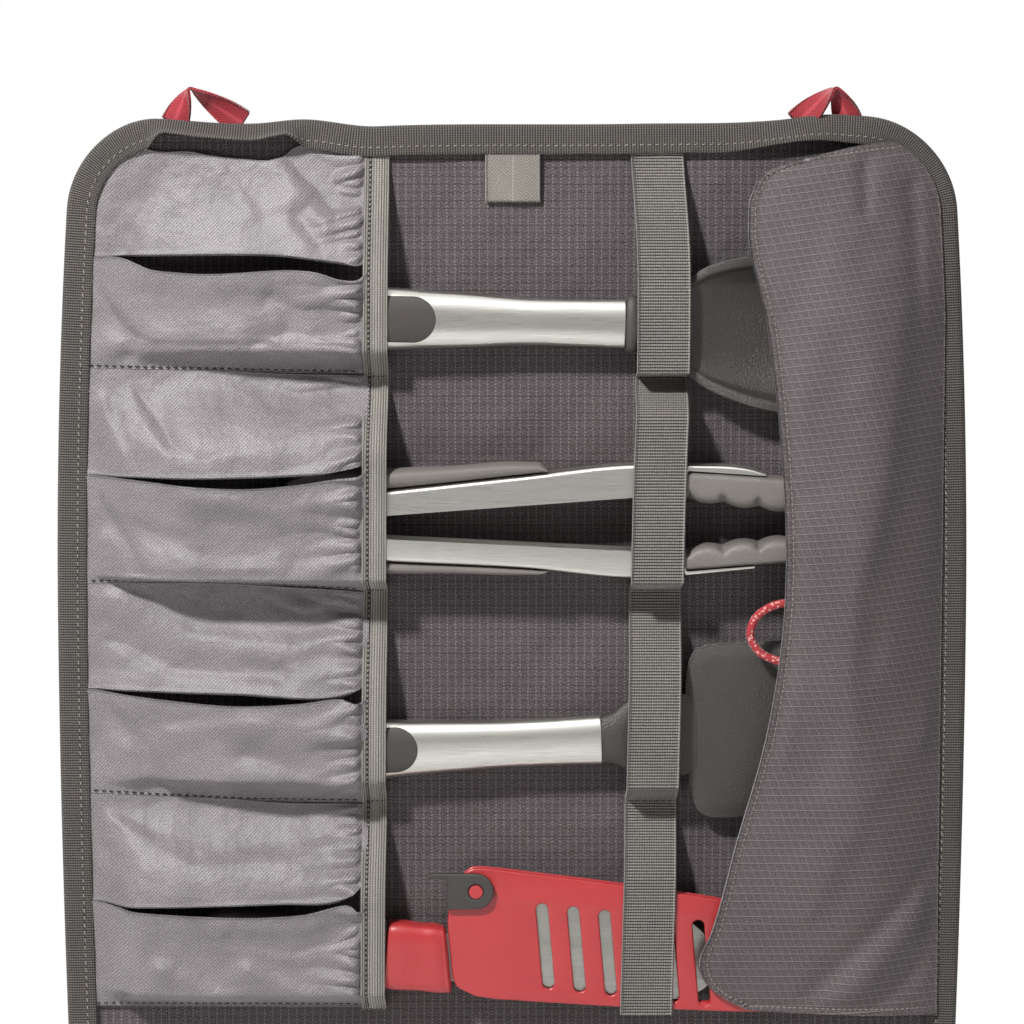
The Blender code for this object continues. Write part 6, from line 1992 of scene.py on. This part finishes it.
@dataclass
class Knife(Tool):
    """The knife in its sheath: grip, bolster, blade, slotted sheath, latch and rivet."""

    at: Place = (-0.0287, -0.0132, -0.4056)
    tilt: float = math.radians(5.0)
    body: str = "knife"
    drop: float = -0.0041
    mouth_slope: float = 0.187
    sheath: Points = (
        (0.0034, -0.0213), (0.0824, -0.0195), (0.1416, -0.0168), (0.1650, -0.0132), (0.1790, -0.0070),
        (0.1850, 0.0020), (0.1835, 0.0125), (0.1740, 0.0225), (0.1580, 0.0300), (0.1262, 0.0358), (0.0773, 0.0389),
        (0.0125, 0.0413), (0.0060, 0.0405), (0.0022, 0.0370), (-0.0026, 0.0200), (-0.0030, 0.0130),
    )
    blade: Points = (
        (-0.0060, -0.0160), (0.0800, -0.0158), (0.1120, -0.0140), (0.1230, -0.0060), (0.1240, 0.0060),
        (0.1195, 0.0180), (0.1080, 0.0260), (0.0600, 0.0300), (0.0070, 0.0305), (0.0060, 0.0110), (0.0030, 0.0085),
        (-0.0060, 0.0080),
    )
    thick: float = 0.0070
    wall: float = 0.0020
    slots: int = 6
    slot_width: float = 0.0056
    slot_length: float = 0.0410
    slot_pitch: float = 0.0148
    slot_start: float = 0.0440
    slot_height: float = 0.0065
    slot_lean: float = math.radians(10.0)

    def build(self) -> None:
        """Makes the grip, the bolster, the blade and the sheath, and dresses the latch and its rivet.

        The bolster's end is sheared along the sheath's mouth, so that it meets it.
        """
        grip = ((-0.1180, 0.0070, 0.0040), (-0.1160, 0.0112, 0.0066), (-0.1110, 0.0150, 0.0084),
                (-0.0980, 0.0157, 0.0090), (-0.0700, 0.0146, 0.0088), (-0.0450, 0.0150, 0.0090),
                (-0.0310, 0.0155, 0.0088))
        bolster = ((-0.0307, 0.0146, 0.0074), (-0.0302, 0.0156, 0.0084), (-0.0290, 0.0158, 0.0086),
                   (-0.0150, 0.0157, 0.0082), (-0.0062, 0.0156, 0.0076), (-0.0044, 0.0150, 0.0068),
                   (-0.0037, 0.0136, 0.0054))
        for name, shape, finish, power, shear in (
            ("knife_grip", grip, RUBBER, 2.8, 0.0),
            ("knife_bolster", bolster, RED_PLASTIC, 4.5, self.mouth_slope),
        ):
            rings = bar([(x, w, t, self.drop, 0, 0) for x, w, t in shape], power, 110, 72)
            mouth = smooth_step((rings[..., 0] + 0.020) / 0.016)
            rings[..., 0] += mouth * np.maximum(0.0120 - rings[..., 2], 0) * shear
            self.add(f"{name}_moulding", rings, finish, name)
        edge = plate("knife_blade_steel", [smooth_loop(self.blade, 220)], 0.0020, 0.0004)
        self.move(edge)
        dress(edge, GROUND, self.body, "knife_blade")
        self.case()
        redress("sheath_latch", NYLON)
        redress("latch_rivet", RED_PLASTIC)

    def slot(self, number: int) -> Array:
        """The outline of one slot: two half circles joined by straight sides, leaning from upright.

        Args:
            number: the slot, 0 next to the mouth.

        Returns:
            Points of x and z.
        """
        centre = np.array([self.slot_start + number * self.slot_pitch, self.slot_height - number * 0.0003])
        axis = np.array([-math.sin(self.slot_lean), math.cos(self.slot_lean)])
        radius = self.slot_width / 2
        reach = self.slot_length / 2 - radius
        turn = np.linspace(0, math.pi, 13) + self.slot_lean
        half = axis * reach + radius * np.stack([np.cos(turn), np.sin(turn)], 1)
        return np.concatenate([centre + half, centre - half])

    def case(self) -> None:
        """The sheath: a front and a back plate with the slots, held apart by a rim that is open at the mouth."""
        outline = smooth_loop(self.sheath, 260)
        holes = [self.slot(n) for n in range(self.slots)]
        offset = (self.thick - self.wall) / 2
        for name, y in (("front", -offset), ("back", offset)):
            half = plate(f"knife_sheath_{name}", [outline, *holes], self.wall, 0.0009)
            self.move(half, y)
            dress(half, RED_PLASTIC, "sheath", "knife_sheath")
        mouth = (outline[:, 0] < 0.0060) & (outline[:, 1] > -0.0180) & (outline[:, 1] < 0.0330)
        order = np.roll(np.arange(len(outline)), -int(np.argmax(mouth & ~np.roll(mouth, -1))) - 1)
        path = outline[order][~mouth[order]]
        run = unit(np.gradient(path, axis=0))
        inward = np.stack([-run[:, 1], run[:, 0]], 1)
        cos, sin = circle(12)
        section = np.stack([0.0020 * cos, (self.thick / 2 - 0.0008) * sin], 1)
        spine, across = (np.insert(flat, 1, 0.0, 1) for flat in (path + inward * 0.0022, inward))
        rim = sweep("knife_sheath_rim", spine, section, across)
        self.move(rim)
        dress(rim, RED_PLASTIC, "sheath", "knife_sheath")


@dataclass
class Closing:
    """The two webbing straps on the back with their side-release buckles."""

    thick: float = 0.0012
    under_plug: float = 0.0070
    tack: float = 0.004
    rib: float = 0.0012

    def build(self) -> None:
        """Makes the webbing over its CAD nodes and dresses the buckles."""
        for side in ("left", "right"):
            self.webbing(f"strap_anchor_{side}", "root")
            self.webbing(f"closing_strap_{side}", f"strap_{side}")
            for half in ("socket", "plug"):
                redress(f"buckle_{half}_{side}", ACETAL)

    def webbing(self, node: str, body: str) -> None:
        """A length of webbing in the place of a CAD node, with fine ribs across it and a tack near its end.

        Args:
            node: the CAD node that it replaces.
            body: the CAD body that it rides on.
        """
        low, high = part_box(node)
        foot = low.z + 0.0004 if body == "root" else low.z - self.under_plug
        z = np.linspace(foot, high.z - 0.0004, max(60, int((high.z - low.z) / self.rib * 5)))
        across = np.linspace(-1, 1, 15)
        x = (low.x + high.x) / 2 + across * (high.x - low.x) / 2 * 0.985 + 0 * z[:, None]
        wave = 0.00020 * np.abs(np.sin(z * math.pi / self.rib))[:, None] * (1 - across**8)
        y = (low.y + high.y) / 2 + 0 * x
        points = np.stack([x, y, z[:, None] + 0 * x], 2)
        uv = pairs(z - z[0], across * 0.0125)
        dress(cloth(f"{node}_webbing", points, self.thick * 0.72 + wave, uv), WEBBING, body, node)
        level = high.z - self.tack if body != "root" else low.z + self.tack
        xs = np.linspace(low.x + 0.002, high.x - 0.002, 30)
        path = np.stack([xs, np.full(30, high.y - 0.0001), np.full(30, level)], 1)
        stitch = Stitch(thread=0.0005, length=0.0024, pitch=0.0033)
        stitch.run(f"{node}_tack", path, body, -TO_FRONT)


@dataclass
class Studio:
    """The floor, the lights and the camera."""

    distance: float = 1.6
    elevation: float = math.radians(5.5)
    view_width: float = 0.4813
    aim: Place = (0.0, 0.0, -0.199)
    floor_z: float = -0.56
    ambient: float = 0.085

    def build(self) -> None:
        """Makes the stage."""
        self.floor()
        self.lights()
        self.camera()

    def floor(self) -> None:
        """A wide pale floor that shows as plain white to the camera; to other rays it is pale and holds the object's
        shadow.
        """
        reach = 3.0
        points = np.array([(-reach, -reach, 0), (reach, -reach, 0), (reach, reach, 0), (-reach, reach, 0)])
        data = bpy.data.meshes.new("floor")
        data.from_pydata((points + np.array([0, 0, self.floor_z])).tolist(), [], [[0, 1, 2, 3]])
        obj = add_object("floor", data)
        material = bpy.data.materials.new("pale_floor")
        material.use_nodes = True
        graph = Graph(material.node_tree)
        shader = graph.tree.nodes["Principled BSDF"]
        graph.fill(shader, {"Base Color": linear("#F4F4F3"), "Roughness": 0.9})
        white = graph.add("Emission", {"Color": linear("#FFFFFF"), "Strength": 1.0})
        seen = graph.add("LightPath", output="Is Camera Ray")
        shown = graph.add("MixShader", {0: seen, 1: shader.outputs[0], 2: white})
        graph.fill(graph.tree.nodes["Material Output"], {"Surface": shown})
        data.materials.append(material)

    def lights(self) -> None:
        """A soft key lamp from the upper left in front, weak fill and rim lamps, and a pale world.

        The world is dim as light, shows as white to the camera, and to reflections it is brighter up and down
        than at eye level.
        """
        for name, place, size, power in (
            ("key", (-0.74, -1.16, 1.02), 0.17, 49.0),
            ("fill", (1.4, -1.4, 0.1), 1.6, 2.5),
            ("rim", (-0.6, 1.6, 1.0), 1.4, 30.0),
        ):
            lamp = bpy.data.lights.new(name, "AREA")
            lamp.size = size
            lamp.energy = power
            obj = add_object(name, lamp)
            obj.location = place
            direction = Vector(self.aim) - Vector(place)
            obj.rotation_euler = direction.to_track_quat("-Z", "Y").to_euler()
        world = bpy.data.worlds.new("studio")
        bpy.context.scene.world = world
        world.use_nodes = True
        graph = Graph(world.node_tree)
        ray = graph.add("LightPath").node.outputs
        height = graph.add("SeparateXYZ", {"Vector": graph.add("TexCoord", output="Generated")}, "Z")
        mirrored = graph.spread(graph.math("ABSOLUTE", height), 0.12, 0.6, 0.42, 1.25)
        seen = graph.math("MAXIMUM", ray["Is Camera Ray"], ray["Is Transmission Ray"])
        level = graph.add("Mix", {0: ray["Is Glossy Ray"], 2: self.ambient, 3: mirrored})
        level = graph.add("Mix", {0: seen, 2: level, 3: 1.0})
        graph.fill(graph.tree.nodes["Background"], {"Color": linear("#FFFFFF"), "Strength": level})

    def camera(self) -> None:
        """The camera: straight in front of the roll and a little above it, at the photograph's width."""
        data = bpy.data.cameras.new("camera")
        obj = add_object("camera", data)
        data.lens = data.sensor_width * self.distance / self.view_width
        offset = np.array([0, -math.cos(self.elevation), math.sin(self.elevation)]) * self.distance
        obj.location = np.array(self.aim) + offset
        obj.rotation_euler = (math.pi / 2 - self.elevation, 0, 0)
        bpy.context.scene.camera = obj


def main() -> None:
    """Builds the sub-assemblies in order, and the studio."""
    logging.basicConfig(level=logging.INFO, format="%(message)s")
    bpy.context.scene.view_settings.view_transform = "Standard"
    Studio().build()
    for part in (Flap(), Panel(), Pockets(), Bands(), TopTrim(), Spoon(), Turner(), Tongs(), Knife(), Closing()):
        LOG.info("building %s", type(part).__name__)
        part.build()


if __name__ == "__main__":
    main()
